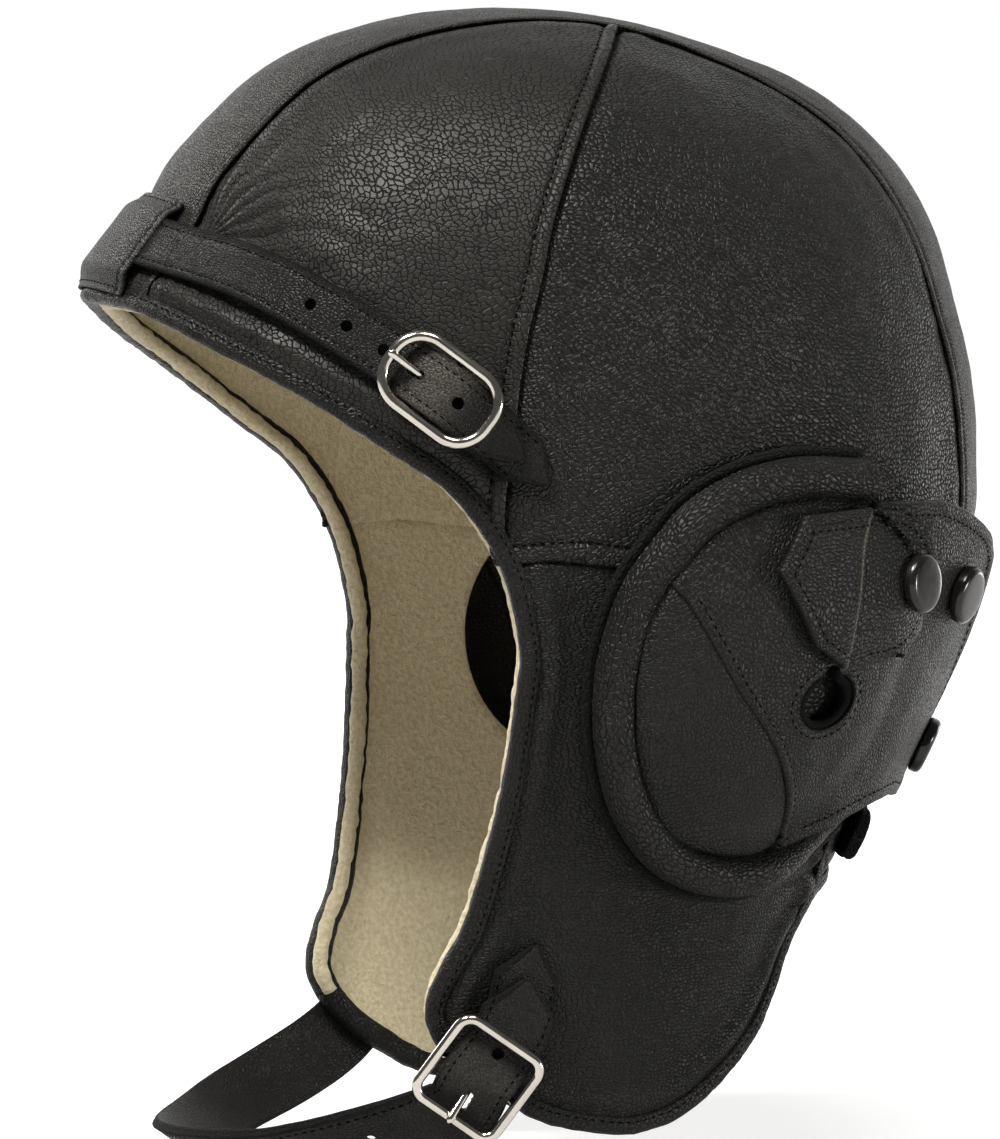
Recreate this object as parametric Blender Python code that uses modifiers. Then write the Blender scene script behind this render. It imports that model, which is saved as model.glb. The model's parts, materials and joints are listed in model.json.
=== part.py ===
# Flying helmet of stitched leather panels with a cloth lining, padded ear cups,
# a buckled brow strap and a buckled chin strap.
# The wearer faces -Y and the wearer's left is +X. The origin lies inside the head
# space, on the middle line at headband level. Lengths are in metres.
import math
import bpy
import bmesh
from mathutils import Matrix, Vector

MM = 0.001

# Head form, measured to the outer face of the leather
head_half_width = 80.0 * MM
head_front = 106.0 * MM
head_back = 101.0 * MM
crown_height = 104.5 * MM
skirt_depth = 139.0 * MM
ear_half_width = 77.0 * MM
ear_front = 101.0 * MM
ear_back = 84.5 * MM
jaw_half_width = 65.0 * MM
jaw_front = 88.0 * MM
jaw_back = 63.5 * MM
hem_half_width = 55.5 * MM
hem_front = 77.0 * MM
hem_back = 53.0 * MM
ear_share = -0.324
jaw_share = -0.647
crown_power = 2.4
probe_step = 0.05 * MM

# Sheets and seams
leather = 1.2 * MM
lining = 1.4 * MM
lining_gap = 1.1 * MM
seam_gap = 0.4 * MM
lining_seam_gap = 1.2 * MM
seat_gap = 0.3 * MM
edge_gap = 0.9 * MM
panel_pitch = 14.0 * MM
lining_pitch = 20.0 * MM
band_columns = 5
lining_columns = 5
edge_roll = 3.6 * MM
edge_pitch = 7.0 * MM
edge_sides = 6

# Crown band: half widths along the middle line, from brow to nape
band_front_half_width = 26.5 * MM
band_top_half_width = 24.0 * MM
band_back_half_width = 42.0 * MM
band_nape_half_width = 38.0 * MM
brow_turn = 26.0
top_turn = 92.0
seam_turn = 98.0
back_turn = 150.0
lower_seam_turn = 192.0
nape_turn = 226.0

# Curves on the head form: bearing in degrees from the front, level as a share
# of the crown height above the headband or of the skirt depth below it
edge_shares = ((0.0, 0.392), (19.7, 0.376), (36.4, 0.302), (50.6, 0.206), (61.7, 0.098),
               (69.7, 0.003), (75.1, -0.103), (77.3, -0.227), (76.9, -0.300), (74.7, -0.465),
               (69.7, -0.655), (65.6, -0.732), (62.9, -0.797), (64.2, -0.850), (68.5, -0.900),
               (74.5, -0.942), (82.4, -0.981), (95.3, -1.0), (104.8, -0.993), (113.0, -0.973),
               (121.9, -0.934), (129.5, -0.891), (135.5, -0.845), (139.8, -0.785), (143.0, -0.715),
               (150.0, -0.662), (163.0, -0.640), (180.0, -0.635))
temple_index = 6
chin_index = 13
curve_steps = 16
flat_steps = 8
side_seam_shares = ((94.9, 0.877), (88.4, 0.776), (84.2, 0.655), (81.6, 0.543), (80.2, 0.442),
                    (78.6, 0.341), (77.6, 0.242), (76.6, 0.10), (75.6, -0.02))
lower_seam_shares = ((84.2, -0.092), (92.0, -0.104), (115.0, -0.130), (135.0, -0.150))

# Ear cup: padded ring, moulded cover in three pieces, lead hole
ring_width = 9.4 * MM
ring_height = 8.0 * MM
ring_tail_width = 3.6 * MM
ring_tail_height = 2.4 * MM
ring_tail_share = 0.20
ring_steps = 22
ring_section_sides = 7
ring_fullness = 0.75
ring_shares = ((122.5, 0.028), (114.5, 0.037), (110.0, 0.033), (104.4, 0.011), (98.6, -0.030),
               (94.5, -0.087), (91.7, -0.134), (89.6, -0.198), (88.4, -0.279), (88.8, -0.376),
               (91.6, -0.471), (98.0, -0.544), (107.9, -0.582), (119.6, -0.584), (130.7, -0.555),
               (138.0, -0.530), (143.0, -0.512))
cover_thickness = 1.8 * MM
cover_edge_lift = 5.2 * MM
cover_rear_lift = 7.6 * MM
cover_rise = 8.0 * MM
cover_tuck = 0.8 * MM
cover_pitch = 9.0 * MM
cover_centre_bearing = 109.0
cover_centre_share = -0.275
cover_span_bearing = 25.0
cover_span_share = 0.285
rear_rise_bearing = 118.0
rear_rise_span = 14.0
tuck_bearing = 138.0
tuck_span_bearing = 24.0
tuck_share = -0.15
tuck_span_share = 0.20
ring_bed_shares = ((122.5, -0.016), (115.5, -0.010), (111.3, -0.012), (106.3, -0.024), (102.2, -0.049),
                   (98.9, -0.094), (95.9, -0.140), (93.9, -0.194), (92.7, -0.269), (93.0, -0.345),
                   (95.0, -0.430), (100.0, -0.505), (109.0, -0.538), (121.0, -0.537))
ring_bed_split = 6
cover_seam_shares = ((95.9, -0.140), (103.4, -0.278), (111.3, -0.375), (116.8, -0.456), (121.0, -0.537))
cover_top_shares = ((122.5, -0.016), (134.6, -0.018))
cover_bottom_shares = ((121.0, -0.537), (131.0, -0.500), (141.0, -0.472), (150.5, -0.462))
cover_bend_shares = ((134.6, -0.018), (137.4, -0.111), (142.0, -0.254), (150.5, -0.462))
flap_top_shares = ((134.6, -0.018), (141.5, -0.037), (149.0, -0.066), (153.5, -0.098))
flap_rear_shares = ((153.5, -0.098), (156.0, -0.170), (161.0, -0.260), (168.5, -0.350), (171.0, -0.410),
                    (167.0, -0.458))
flap_bottom_shares = ((150.5, -0.462), (158.0, -0.470), (167.0, -0.458))
bend_gap = 0.9 * MM
cover_seam_gap = 0.8 * MM
lead_hole = 13.5 * MM
lead_hole_shares = (117.4, -0.300)
ear_opening_width = 50.0 * MM
ear_opening_height = 56.0 * MM
ear_opening_shares = (110.5, -0.285)
cover_probe_bearing = 2.0
cover_probe_share = 0.02
cutter_length = 60.0 * MM
cutter_sides = 26
hole_sides = 12

# Cable patch and its tab, on the cover
bed_gap = 0.6 * MM
patch_thickness = 1.3 * MM
tab_thickness = 2.2 * MM
patch_pitch = 7.5 * MM
crease_shares = ((121.4, -0.026), (119.0, -0.075), (118.3, -0.150), (117.8, -0.247))
patch_arc_shares = ((121.4, -0.026), (126.9, -0.030), (131.5, -0.070), (133.6, -0.125), (132.6, -0.190),
                    (127.5, -0.232), (117.8, -0.247))
tab_edge_shares = ((121.4, -0.026), (110.6, -0.034), (106.8, -0.110), (112.4, -0.214), (117.8, -0.247))
crease_gap = 1.6 * MM
patch_gap = 1.1 * MM

# Snap fasteners: cap and socket on the flap, stud on the shell
snap_cap = 12.8 * MM
snap_cap_height = 3.0 * MM
snap_cap_lip = 0.7 * MM
snap_post = 3.0 * MM
snap_socket = 9.6 * MM
snap_socket_wall = 1.4 * MM
snap_socket_height = 1.6 * MM
snap_socket_top = 0.6 * MM
snap_stud_base = 8.0 * MM
snap_stud_gap = 0.8 * MM
snap_gap = 0.6 * MM
snap_stud_plate = 0.5 * MM
snap_stud_post = 4.8 * MM
snap_sides = 12
snap_dome_shares = ((0.0, 1.0), (0.45, 0.96), (0.80, 0.78), (0.96, 0.48), (1.0, 0.24))
snap_front_shares = (129.1, -0.131)
snap_upper_shares = (144.8, -0.152)
snap_lower_shares = (163.0, -0.395)

# Straps and what both buckles share
strap_thickness = 2.2 * MM
strap_lift = 0.8 * MM
strap_pitch = 11.0 * MM
strap_point = 7.0 * MM
strap_point_share = 0.12
hump_shares = ((-1.6, 0.0), (-1.15, 0.0), (-0.85, 0.03), (-0.68, 0.25), (-0.45, 0.70), (-0.22, 0.95),
               (0.0, 1.0), (0.22, 0.95), (0.45, 0.68), (0.68, 0.24), (0.85, 0.03), (1.15, 0.0))
frame_height = 6.3 * MM
bar_wire = 1.8 * MM
prong_wire = 1.7 * MM
bar_height = 2.8 * MM
prong_overhang = 1.0 * MM
prong_eye_skin = 1.0 * MM
prong_eye_width = 2.0 * MM
prong_slot = 3.0 * MM
prong_hole_start = 1.0 * MM
prong_hole_length = 8.2 * MM
prong_hole_gap = 0.4 * MM
chape_patch = 1.2 * MM
chape_gap = 0.6 * MM
chape_fall = 8.0 * MM
chape_side_gap = 0.4 * MM
strap_hole = 2.6 * MM
cut_reach = 8.0 * MM
wire_resolution = 2
corner_steps = 3

# Brow strap, its keeper and its buckle
brow_strap_width = 12.7 * MM
brow_strap_shares = ((-77.7, 0.082), (-68.0, 0.221), (-54.0, 0.368), (-38.5, 0.470), (-17.0, 0.528),
                     (0.0, 0.541), (17.0, 0.528), (38.5, 0.470), (54.0, 0.368), (68.1, 0.221), (77.7, 0.082))
brow_buckle_index = 9
brow_chape_end = (86.0, -0.050)
brow_buckle_length = 28.0 * MM
brow_buckle_width = 18.6 * MM
brow_wire = 2.2 * MM
brow_corner = 5.5 * MM
brow_chape_reach = 30.0 * MM
brow_hole_pitch = 9.6 * MM
brow_hole_steps = (-3, -2, -1, 1)
keeper_half_width = 21.0 * MM
keeper_thickness = 1.2 * MM
keeper_gap = 0.8 * MM
keeper_columns = 4
keeper_turns = (-7.1, -4.8, 4.8, 6.9)
keeper_row_steps = (2, 2, 2)

# Chin strap and its buckle
chin_strap_width = 15.0 * MM
chin_buckle_index = 6
chin_guide_share = 0.56
chin_buckle_length = 23.0 * MM
chin_buckle_width = 22.8 * MM
chin_wire = 2.3 * MM
chin_corner = 3.2 * MM
chin_chape_reach = 31.0 * MM
chin_hole_pitch = 12.0 * MM
chin_hole_steps = (-3, -2, 1)
chin_tip_shares = (78.3, -0.745)
chin_run_shares = (0.287, 0.543, 0.790)
chin_buckle_shares = (70.8, -0.892)
chin_chape_end = (81.0, -0.640)
chin_apex_shares = (-78.3, -0.700)
chin_turn_point = (36.0 * MM, -61.0 * MM, -140.0 * MM)
chin_low_point = (0.0, -76.0 * MM, -143.0 * MM)
chin_turn_normal = (0.55, -0.25, -0.80)
chin_low_normal = (0.0, -0.55, -0.84)

# Nape strap
nape_strap_width = 12.0 * MM
nape_strap_thickness = 2.6 * MM
nape_strap_rise = 0.4 * MM
nape_strap_bearing = 158.0
nape_strap_share = -0.542
nape_strap_pitch = 9.0 * MM
nape_end_steps = 3


for old in list(bpy.data.objects):
    bpy.data.objects.remove(old, do_unlink=True)

parts = bpy.data.collections.new("flying_helmet")
cutters = bpy.data.collections.new("cutters")
bpy.context.scene.collection.children.link(parts)
bpy.context.scene.collection.children.link(cutters)


def make_material(name, colour, roughness, metallic=0.0):
    material = bpy.data.materials.new(name)
    material.use_nodes = True
    shader = material.node_tree.nodes["Principled BSDF"]
    shader.inputs["Base Color"].default_value = (*colour, 1.0)
    shader.inputs["Roughness"].default_value = roughness
    shader.inputs["Metallic"].default_value = metallic
    return material


band_leather = make_material("band_leather", (0.035, 0.033, 0.031), 0.45)
panel_leather = make_material("panel_leather", (0.024, 0.022, 0.020), 0.50)
strap_leather = make_material("strap_leather", (0.020, 0.018, 0.017), 0.45)
edge_leather = make_material("edge_leather", (0.014, 0.013, 0.012), 0.48)
cup_leather = make_material("cup_leather", (0.028, 0.027, 0.025), 0.42)
lining_cloth = make_material("lining_cloth", (0.62, 0.54, 0.38), 0.95)
nickel = make_material("nickel", (0.72, 0.68, 0.62), 0.18, 1.0)
snap_black = make_material("snap_black", (0.010, 0.010, 0.010), 0.12)
snap_steel = make_material("snap_steel", (0.35, 0.34, 0.33), 0.30, 1.0)


# Head form

def shell_stations():
    """Level, half width, front and back of the sections below the headband."""
    return ((0.0, head_half_width, head_front, head_back),
            (ear_share * skirt_depth, ear_half_width, ear_front, ear_back),
            (jaw_share * skirt_depth, jaw_half_width, jaw_front, jaw_back),
            (-skirt_depth, hem_half_width, hem_front, hem_back))


stations = shell_stations()


def station_slope(index, column):
    if index == 0:
        return 0.0
    before = stations[index - 1]
    after = stations[min(index + 1, len(stations) - 1)]
    return (after[column] - before[column]) / (after[0] - before[0])


def section_size(level, column):
    """One size of the horizontal section at a level, on a smooth curve."""
    if level >= 0.0:
        return stations[0][column]
    index = 0
    while index < len(stations) - 2 and level < stations[index + 1][0]:
        index += 1
    step = stations[index + 1][0] - stations[index][0]
    t = (level - stations[index][0]) / step
    a, b = stations[index][column], stations[index + 1][column]
    da, db = station_slope(index, column) * step, station_slope(index + 1, column) * step
    return (a * (2 * t**3 - 3 * t**2 + 1) + da * (t**3 - 2 * t**2 + t)
            + b * (3 * t**2 - 2 * t**3) + db * (t**3 - t**2))


def plan_ratio(point):
    """How far out a point lies in its own horizontal section, 1 on the form."""
    depth = section_size(point.z, 2 if point.y < 0.0 else 3)
    return math.hypot(point.x / section_size(point.z, 1), point.y / depth)


def form_ratio(point):
    """How far out a point lies from the head's middle, 1 on the form."""
    if point.z <= 0.0:
        return plan_ratio(point)
    return (plan_ratio(point)**crown_power + (point.z / crown_height)**crown_power)**(1 / crown_power)


def outward(point):
    """Unit normal of the head form at a point."""
    slope = []
    for axis in (Vector((probe_step, 0, 0)), Vector((0, probe_step, 0)), Vector((0, 0, probe_step))):
        slope.append(form_ratio(point + axis) - form_ratio(point - axis))
    return Vector(slope).normalized()


def seat(point, lift=0.0):
    """Bring a point onto the head form, then lift it off along the normal."""
    ratio = form_ratio(point)
    if point.z > 0.0:
        seated = point / ratio
    else:
        seated = Vector((point.x / ratio, point.y / ratio, point.z))
    return seated + outward(seated) * lift


def level_of(share):
    return share * (crown_height if share > 0.0 else skirt_depth)


def spot(bearing, share, lift=0.0):
    """A place on the form: bearing in degrees from the front, level by share."""
    level = level_of(share)
    shrink = 1.0
    if share > 0.0:
        shrink = (1.0 - share**crown_power)**(1 / crown_power)
    angle = math.radians(bearing)
    depth = section_size(level, 2 if math.cos(angle) > 0.0 else 3)
    point = Vector((section_size(level, 1) * shrink * math.sin(angle), -depth * shrink * math.cos(angle), level))
    return seat(point, lift)


def crest(across, turn, lift=0.0):
    """A place beside the middle line: turn runs from 0 ahead over 90 on top to 180
    behind, and past 180 it runs down the back of the neck."""
    if turn > 180.0:
        level = -math.radians(turn - 180.0) * head_back
        width = across / section_size(level, 1)
        return seat(Vector((across, section_size(level, 3) * math.sqrt(1.0 - width**2), level)), lift)
    ray = Vector((0.0, -math.cos(math.radians(turn)), math.sin(math.radians(turn))))
    near, far = 0.0, crown_height + head_front
    for _ in range(40):
        middle = (near + far) / 2
        if form_ratio(ray * middle + Vector((across, 0.0, 0.0))) > 1.0:
            far = middle
        else:
            near = middle
    return seat(ray * near + Vector((across, 0.0, 0.0)), lift)


# Curves and patches

def ease(value):
    value = min(max(value, 0.0), 1.0)
    return value * value * (3.0 - 2.0 * value)


def smooth_curve(points, steps=curve_steps):
    """A smooth curve through points, as many steps for each stretch."""
    curve = []
    last = len(points) - 1
    for index in range(last):
        p0, p1 = points[max(index - 1, 0)], points[index]
        p2, p3 = points[index + 1], points[min(index + 2, last)]
        for step in range(steps):
            t = step / steps
            curve.append((p1 * 2 + (p2 - p0) * t + (p0 * 2 - p1 * 5 + p2 * 4 - p3) * t**2
                          + (p1 * 3 - p0 - p2 * 3 + p3) * t**3) * 0.5)
    curve.append(points[last].copy())
    return curve


def length_of(curve):
    return sum((b - a).length for a, b in zip(curve, curve[1:]))


def spaced(curve, count):
    """The same curve as count equal steps."""
    total = length_of(curve)
    result, walked, index = [], 0.0, 0
    for step in range(count + 1):
        goal = total * step / count
        while index < len(curve) - 2 and walked + (curve[index + 1] - curve[index]).length < goal:
            walked += (curve[index + 1] - curve[index]).length
            index += 1
        piece = (curve[index + 1] - curve[index]).length
        t = 0.0 if piece == 0.0 else min((goal - walked) / piece, 1.0)
        result.append(curve[index].lerp(curve[index + 1], t))
    return result


def form_curve(shares):
    """A smooth curve on the head form through bearing and level shares."""
    return smooth_curve([spot(bearing, share) for bearing, share in shares])


def flat_curve(shares):
    """The same, kept as bearing and share pairs for pieces with a lift of their own."""
    return smooth_curve([Vector((bearing, share, 0.0)) for bearing, share in shares], flat_steps)


def band_half_width(turn):
    """Half width of the crown band at a turn."""
    if turn < top_turn:
        t = ease((turn - brow_turn) / (top_turn - brow_turn))
        return band_front_half_width + (band_top_half_width - band_front_half_width) * t
    if turn < back_turn:
        t = ease((turn - top_turn) / (back_turn - top_turn))
        return band_top_half_width + (band_back_half_width - band_top_half_width) * t
    t = ease((turn - back_turn) / (nape_turn - back_turn))
    return band_back_half_width + (band_nape_half_width - band_back_half_width) * t


def band_edge(start, end):
    """The left edge of the crown band between two turns."""
    steps = 30
    turns = [start + (end - start) * step / steps for step in range(steps + 1)]
    return [crest(band_half_width(turn), turn) for turn in turns]


def steps_for(pitch, *curves):
    return max(2, round(max(length_of(curve) for curve in curves) / pitch))


def mixed(low, high, left, right, across, along):
    """Rows of points between four sides: low and high run the same way, and left
    and right join their starts and their ends."""
    low, high = spaced(low, across), spaced(high, across)
    left, right = spaced(left, along), spaced(right, along)
    rows = []
    for j in range(along + 1):
        v = j / along
        row = []
        for i in range(across + 1):
            u = i / across
            corner = (low[0] * (1 - u) + low[-1] * u) * (1 - v) + (high[0] * (1 - u) + high[-1] * u) * v
            row.append(low[i] * (1 - v) + high[i] * v + left[j] * (1 - u) + right[j] * u - corner)
        rows.append(row)
    return rows


def drawn_in(rows, low=0.0, high=0.0, left=0.0, right=0.0):
    """Rows with their sides moved inwards by the given distances."""
    def shifted(line, inner, distance):
        result = []
        for index, point in enumerate(line):
            along = line[min(index + 1, len(line) - 1)] - line[max(index - 1, 0)]
            inward = inner[index] - point
            if along.length > 0.0:
                inward -= along * (inward.dot(along) / along.length_squared)
            if inward.length > 0.0:
                inward.normalize()
            result.append(point + inward * distance)
        return result
    rows = [list(row) for row in rows]
    if low:
        rows[0] = shifted(rows[0], rows[1], low)
    if high:
        rows[-1] = shifted(rows[-1], rows[-2], high)
    columns = [list(column) for column in zip(*rows)]
    if left:
        columns[0] = shifted(columns[0], columns[1], left)
    if right:
        columns[-1] = shifted(columns[-1], columns[-2], right)
    return [list(row) for row in zip(*columns)]


# Objects

def add_object(name, vertices, faces, material, collection=parts):
    """A mesh object from points and faces; coincident points become one."""
    mesh = bpy.data.meshes.new(name)
    shape = bmesh.new()
    points = [shape.verts.new(vertex) for vertex in vertices]
    for face in faces:
        corners = []
        for index in face:
            if points[index] not in corners:
                corners.append(points[index])
        shape.faces.new(corners)
    bmesh.ops.remove_doubles(shape, verts=shape.verts, dist=probe_step / 10)
    shape.to_mesh(mesh)
    shape.free()
    mesh.shade_smooth()
    mesh.set_sharp_from_angle(angle=math.radians(40.0))
    thing = bpy.data.objects.new(name, mesh)
    thing.data.materials.append(material)
    collection.objects.link(thing)
    return thing


def add_sheet(name, rows, thickness, material):
    """A shell from rows of points on its outer face, thickened inwards."""
    across = len(rows[0])
    vertices = [point for row in rows for point in row]
    faces = []
    for j in range(len(rows) - 1):
        for i in range(across - 1):
            a = j * across + i
            faces.append((a, a + 1, a + 1 + across, a + across))
    middle = rows[len(rows) // 2][across // 2]
    turn = (rows[len(rows) // 2][across // 2 - 1] - middle).cross(rows[len(rows) // 2 - 1][across // 2] - middle)
    if turn.dot(outward(middle)) < 0.0:
        faces = [tuple(reversed(face)) for face in faces]
    thing = add_object(name, vertices, faces, material)
    solidify = thing.modifiers.new("thickness", "SOLIDIFY")
    solidify.thickness = thickness
    solidify.offset = -1.0
    solidify.use_even_offset = True
    return thing


def add_loft(name, rings, material, collection=parts):
    """A solid through rings of points, capped at both ends."""
    count = len(rings[0])
    vertices = [point for ring in rings for point in ring]
    faces = []
    for j in range(len(rings) - 1):
        for i in range(count):
            n = (i + 1) % count
            faces.append((j * count + i, j * count + n, (j + 1) * count + n, (j + 1) * count + i))
    faces.append(tuple(reversed(range(count))))
    faces.append(tuple((len(rings) - 1) * count + i for i in range(count)))
    thing = add_object(name, vertices, faces, material, collection)
    shape = bmesh.new()
    shape.from_mesh(thing.data)
    bmesh.ops.recalc_face_normals(shape, faces=shape.faces)
    shape.to_mesh(thing.data)
    shape.free()
    return thing


def hide_cutter(thing):
    thing.hide_render = True
    thing.display_type = "WIRE"


def cut(thing, cutter, operation="DIFFERENCE"):
    modifier = thing.modifiers.new("cut", "BOOLEAN")
    modifier.operation = operation
    modifier.solver = "EXACT"
    modifier.object = cutter


def frame_at(point, along, normal):
    """Matrix with X along, Z outwards and its origin at the point."""
    z = normal.normalized()
    y = z.cross(along).normalized()
    x = y.cross(z)
    matrix = Matrix((x, y, z)).transposed().to_4x4()
    matrix.translation = point
    return matrix


def strip_section(point, along, normal, width, low, high):
    """A rectangle across a strap, from low to high above its path."""
    across = along.cross(normal).normalized() * (width / 2)
    return [point + across + normal * low, point + across + normal * high,
            point - across + normal * high, point - across + normal * low]


def along_of(points, index):
    return (points[min(index + 1, len(points) - 1)] - points[max(index - 1, 0)]).normalized()


# Shell panels and lining

def nearest_index(curve, goal):
    return min(range(len(curve)), key=lambda index: (curve[index] - goal).length)


def moved_in(curve, distance):
    """A curve on the form moved sideways, to the left of its run seen from outside."""
    result = []
    for index, point in enumerate(curve):
        result.append(seat(point + outward(point).cross(along_of(curve, index)).normalized() * distance))
    return result


edge_inset = edge_roll + edge_gap
edge_curve = form_curve(edge_shares)
inner_edge = moved_in(edge_curve, edge_inset)
brow_start = nearest_index(inner_edge, crest(band_half_width(brow_turn), brow_turn))
temple_at = temple_index * curve_steps
chin_at = chin_index * curve_steps
hem_end = nearest_index(inner_edge, crest(band_half_width(nape_turn), nape_turn))
brow_middle, brow_side = inner_edge[:brow_start + 1], inner_edge[brow_start:temple_at + 1]
cheek_side = inner_edge[temple_at:chin_at + 1]
hem_side, hem_middle = inner_edge[chin_at:hem_end + 1], inner_edge[hem_end:]
temple = inner_edge[temple_at]
seam_top = crest(band_half_width(seam_turn), seam_turn)
seam_back = crest(band_half_width(lower_seam_turn), lower_seam_turn)
side_seam = smooth_curve([seam_top] + [spot(*share) for share in side_seam_shares] + [temple])
lower_seam = smooth_curve([temple] + [spot(*share) for share in lower_seam_shares] + [seam_back])
front_edge = [brow_side[0]] + band_edge(brow_turn, seam_turn)[1:]
back_edge = band_edge(seam_turn, lower_seam_turn)
nape_edge = band_edge(lower_seam_turn, nape_turn)[:-1] + [hem_side[-1]]


def seated_rows(rows, lift):
    return [[seat(point, lift) for point in row] for row in rows]


def panel_steps(pitch):
    """Steps along the brow, the side seam, the lower seam and the nape, the same for
    the panels on both sides of each seam."""
    return (steps_for(pitch, brow_side, front_edge), steps_for(pitch, side_seam, back_edge),
            steps_for(pitch, lower_seam, hem_side), steps_for(pitch, cheek_side, nape_edge))


def hem_row(curve, row):
    """A row of points moved along a hem curve, keeping their distance across."""
    result = []
    for point in row:
        best = min(curve, key=lambda place: abs(abs(place.x) - abs(point.x)))
        result.append(Vector((point.x, best.y, best.z)))
    return result


def band_rows(pitch, inset):
    """The crown strip: rows across, from the brow hem to the nape hem."""
    columns = band_columns if pitch < lining_pitch else lining_columns
    front, back, _, nape = panel_steps(pitch)
    edge = spaced(front_edge, front)[:-1] + spaced(back_edge, back)[:-1] + spaced(nape_edge, nape)
    rows = []
    for place in edge:
        shares = [2 * column / columns - 1 for column in range(columns + 1)]
        rows.append([seat(Vector((place.x * share, place.y, place.z))) for share in shares])
    rows[0] = hem_row(brow_middle, rows[0])
    rows[-1] = hem_row(hem_middle, rows[-1])
    return drawn_in(rows, left=inset, right=inset)


def front_rows(pitch, inset):
    across, along = panel_steps(pitch)[:2]
    start = [brow_side[0], brow_side[0]]
    rows = mixed(brow_side, front_edge, start, list(reversed(side_seam)), across, along)
    return drawn_in(rows, high=inset, right=inset)


def side_rows(pitch, inset):
    across, along = panel_steps(pitch)[1:3]
    start = [side_seam[0], side_seam[0]]
    rows = mixed(side_seam, back_edge, start, lower_seam, across, along)
    return drawn_in(rows, low=inset, high=inset, right=inset)


def neck_rows(pitch, inset):
    across, along = panel_steps(pitch)[2:]
    rows = mixed(hem_side, lower_seam, list(reversed(cheek_side)), list(reversed(nape_edge)), across, along)
    return drawn_in(rows, high=inset, right=inset)


def make_shell():
    rows = seated_rows(band_rows(panel_pitch, seam_gap / 2), 0.0)
    panels = [add_sheet("crown_band", rows, leather, band_leather)]
    rows = seated_rows(band_rows(lining_pitch, lining_seam_gap / 2), -leather - lining_gap)
    linings = [add_sheet("lining_crown", rows, lining, lining_cloth)]
    for name, maker in (("front_panel_l", front_rows), ("side_panel_l", side_rows), ("neck_panel_l", neck_rows)):
        rows = seated_rows(maker(panel_pitch, seam_gap / 2), 0.0)
        panels.append(add_sheet(name, rows, leather, panel_leather))
        rows = seated_rows(maker(lining_pitch, lining_seam_gap / 2), -leather - lining_gap)
        linings.append(add_sheet(f"lining_{name}", rows, lining, lining_cloth))
    return panels, linings


panels, linings = make_shell()


# Edge bindings

def at_length(curve, distance):
    """The point of a curve at a distance along it."""
    for a, b in zip(curve, curve[1:]):
        piece = (b - a).length
        if distance <= piece:
            return a.lerp(b, distance / piece)
        distance -= piece
    return curve[-1].copy()


def trimmed(curve, start, end):
    """A curve shortened by the given lengths at its two ends."""
    total = length_of(curve)
    steps = len(curve)
    return [at_length(curve, start + (total - start - end) * step / steps) for step in range(steps + 1)]


def mirrored(curve):
    return [Vector((-point.x, point.y, point.z)) for point in curve]


def make_binding(name, curve):
    """A rolled leather strip along a hem, left and right in one piece."""
    middle = moved_in(curve, edge_roll / 2)
    whole = list(reversed(mirrored(middle)))[:-1] + middle
    whole = spaced(whole, round(length_of(whole) / edge_pitch))
    depth = (leather + lining_gap + lining) / 2
    rings = []
    for index, point in enumerate(whole):
        normal = outward(point)
        across = along_of(whole, index).cross(normal).normalized()
        ring = []
        for side in range(edge_sides):
            angle = 2 * math.pi * (side + 0.5) / edge_sides
            ring.append(point - normal * depth + (across * math.cos(angle) + normal * math.sin(angle)) * edge_roll / 2)
        rings.append(ring)
    return add_loft(name, rings, edge_leather)


face_binding = make_binding("face_binding", trimmed(edge_curve[:chin_at + 1], 0.0, seat_gap / 2))
hem_binding = make_binding("hem_binding", list(reversed(trimmed(edge_curve[chin_at:], seat_gap / 2, 0.0))))


# Ear cups

def cover_lift(bearing, share):
    """Height of the ear cover's outer face above the shell."""
    reach = ((bearing - cover_centre_bearing) / cover_span_bearing)**2
    reach += ((share - cover_centre_share) / cover_span_share)**2
    rear = ease((bearing - rear_rise_bearing) / rear_rise_span)
    tuck = ease((bearing - tuck_bearing) / tuck_span_bearing) * ease((tuck_share - share) / tuck_span_share)
    return (cover_edge_lift + (cover_rear_lift - cover_edge_lift) * rear
            + cover_rise * max(0.0, 1.0 - reach) - cover_tuck * tuck)


def on_cover(place, above=0.0):
    return spot(place.x, place.y, cover_lift(place.x, place.y) + above)


def cover_rows(low, high, left, right, pitch, above=0.0):
    """Rows on the cover between four sides that are given as bearing and share."""
    sides = [[on_cover(place) for place in side] for side in (low, high, left, right)]
    across = steps_for(pitch, sides[0], sides[1])
    along = steps_for(pitch, sides[2], sides[3])
    rows = mixed(low, high, left, right, across, along)
    return [[on_cover(place, above) for place in row] for row in rows]


def point_side(place):
    return [place.copy(), place.copy()]


def place_frame(bearing, share, lift):
    point = spot(bearing, share, lift)
    return frame_at(point, Vector((0.0, 1.0, 0.0)), outward(spot(bearing, share)))


def add_cutter(name, shape, matrix):
    """A hidden object for a Boolean."""
    bmesh.ops.transform(shape, matrix=matrix, verts=shape.verts)
    mesh = bpy.data.meshes.new(name)
    shape.to_mesh(mesh)
    shape.free()
    thing = bpy.data.objects.new(name, mesh)
    cutters.objects.link(thing)
    hide_cutter(thing)
    return thing


def add_cylinder(name, radius, length, matrix, sides=hole_sides, squash=1.0):
    """A round or oval cutter along the Z axis of a matrix."""
    shape = bmesh.new()
    bmesh.ops.create_cone(shape, cap_ends=True, segments=sides, radius1=radius, radius2=radius, depth=length)
    bmesh.ops.scale(shape, vec=(1.0, squash, 1.0), verts=shape.verts)
    return add_cutter(name, shape, matrix)


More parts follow.
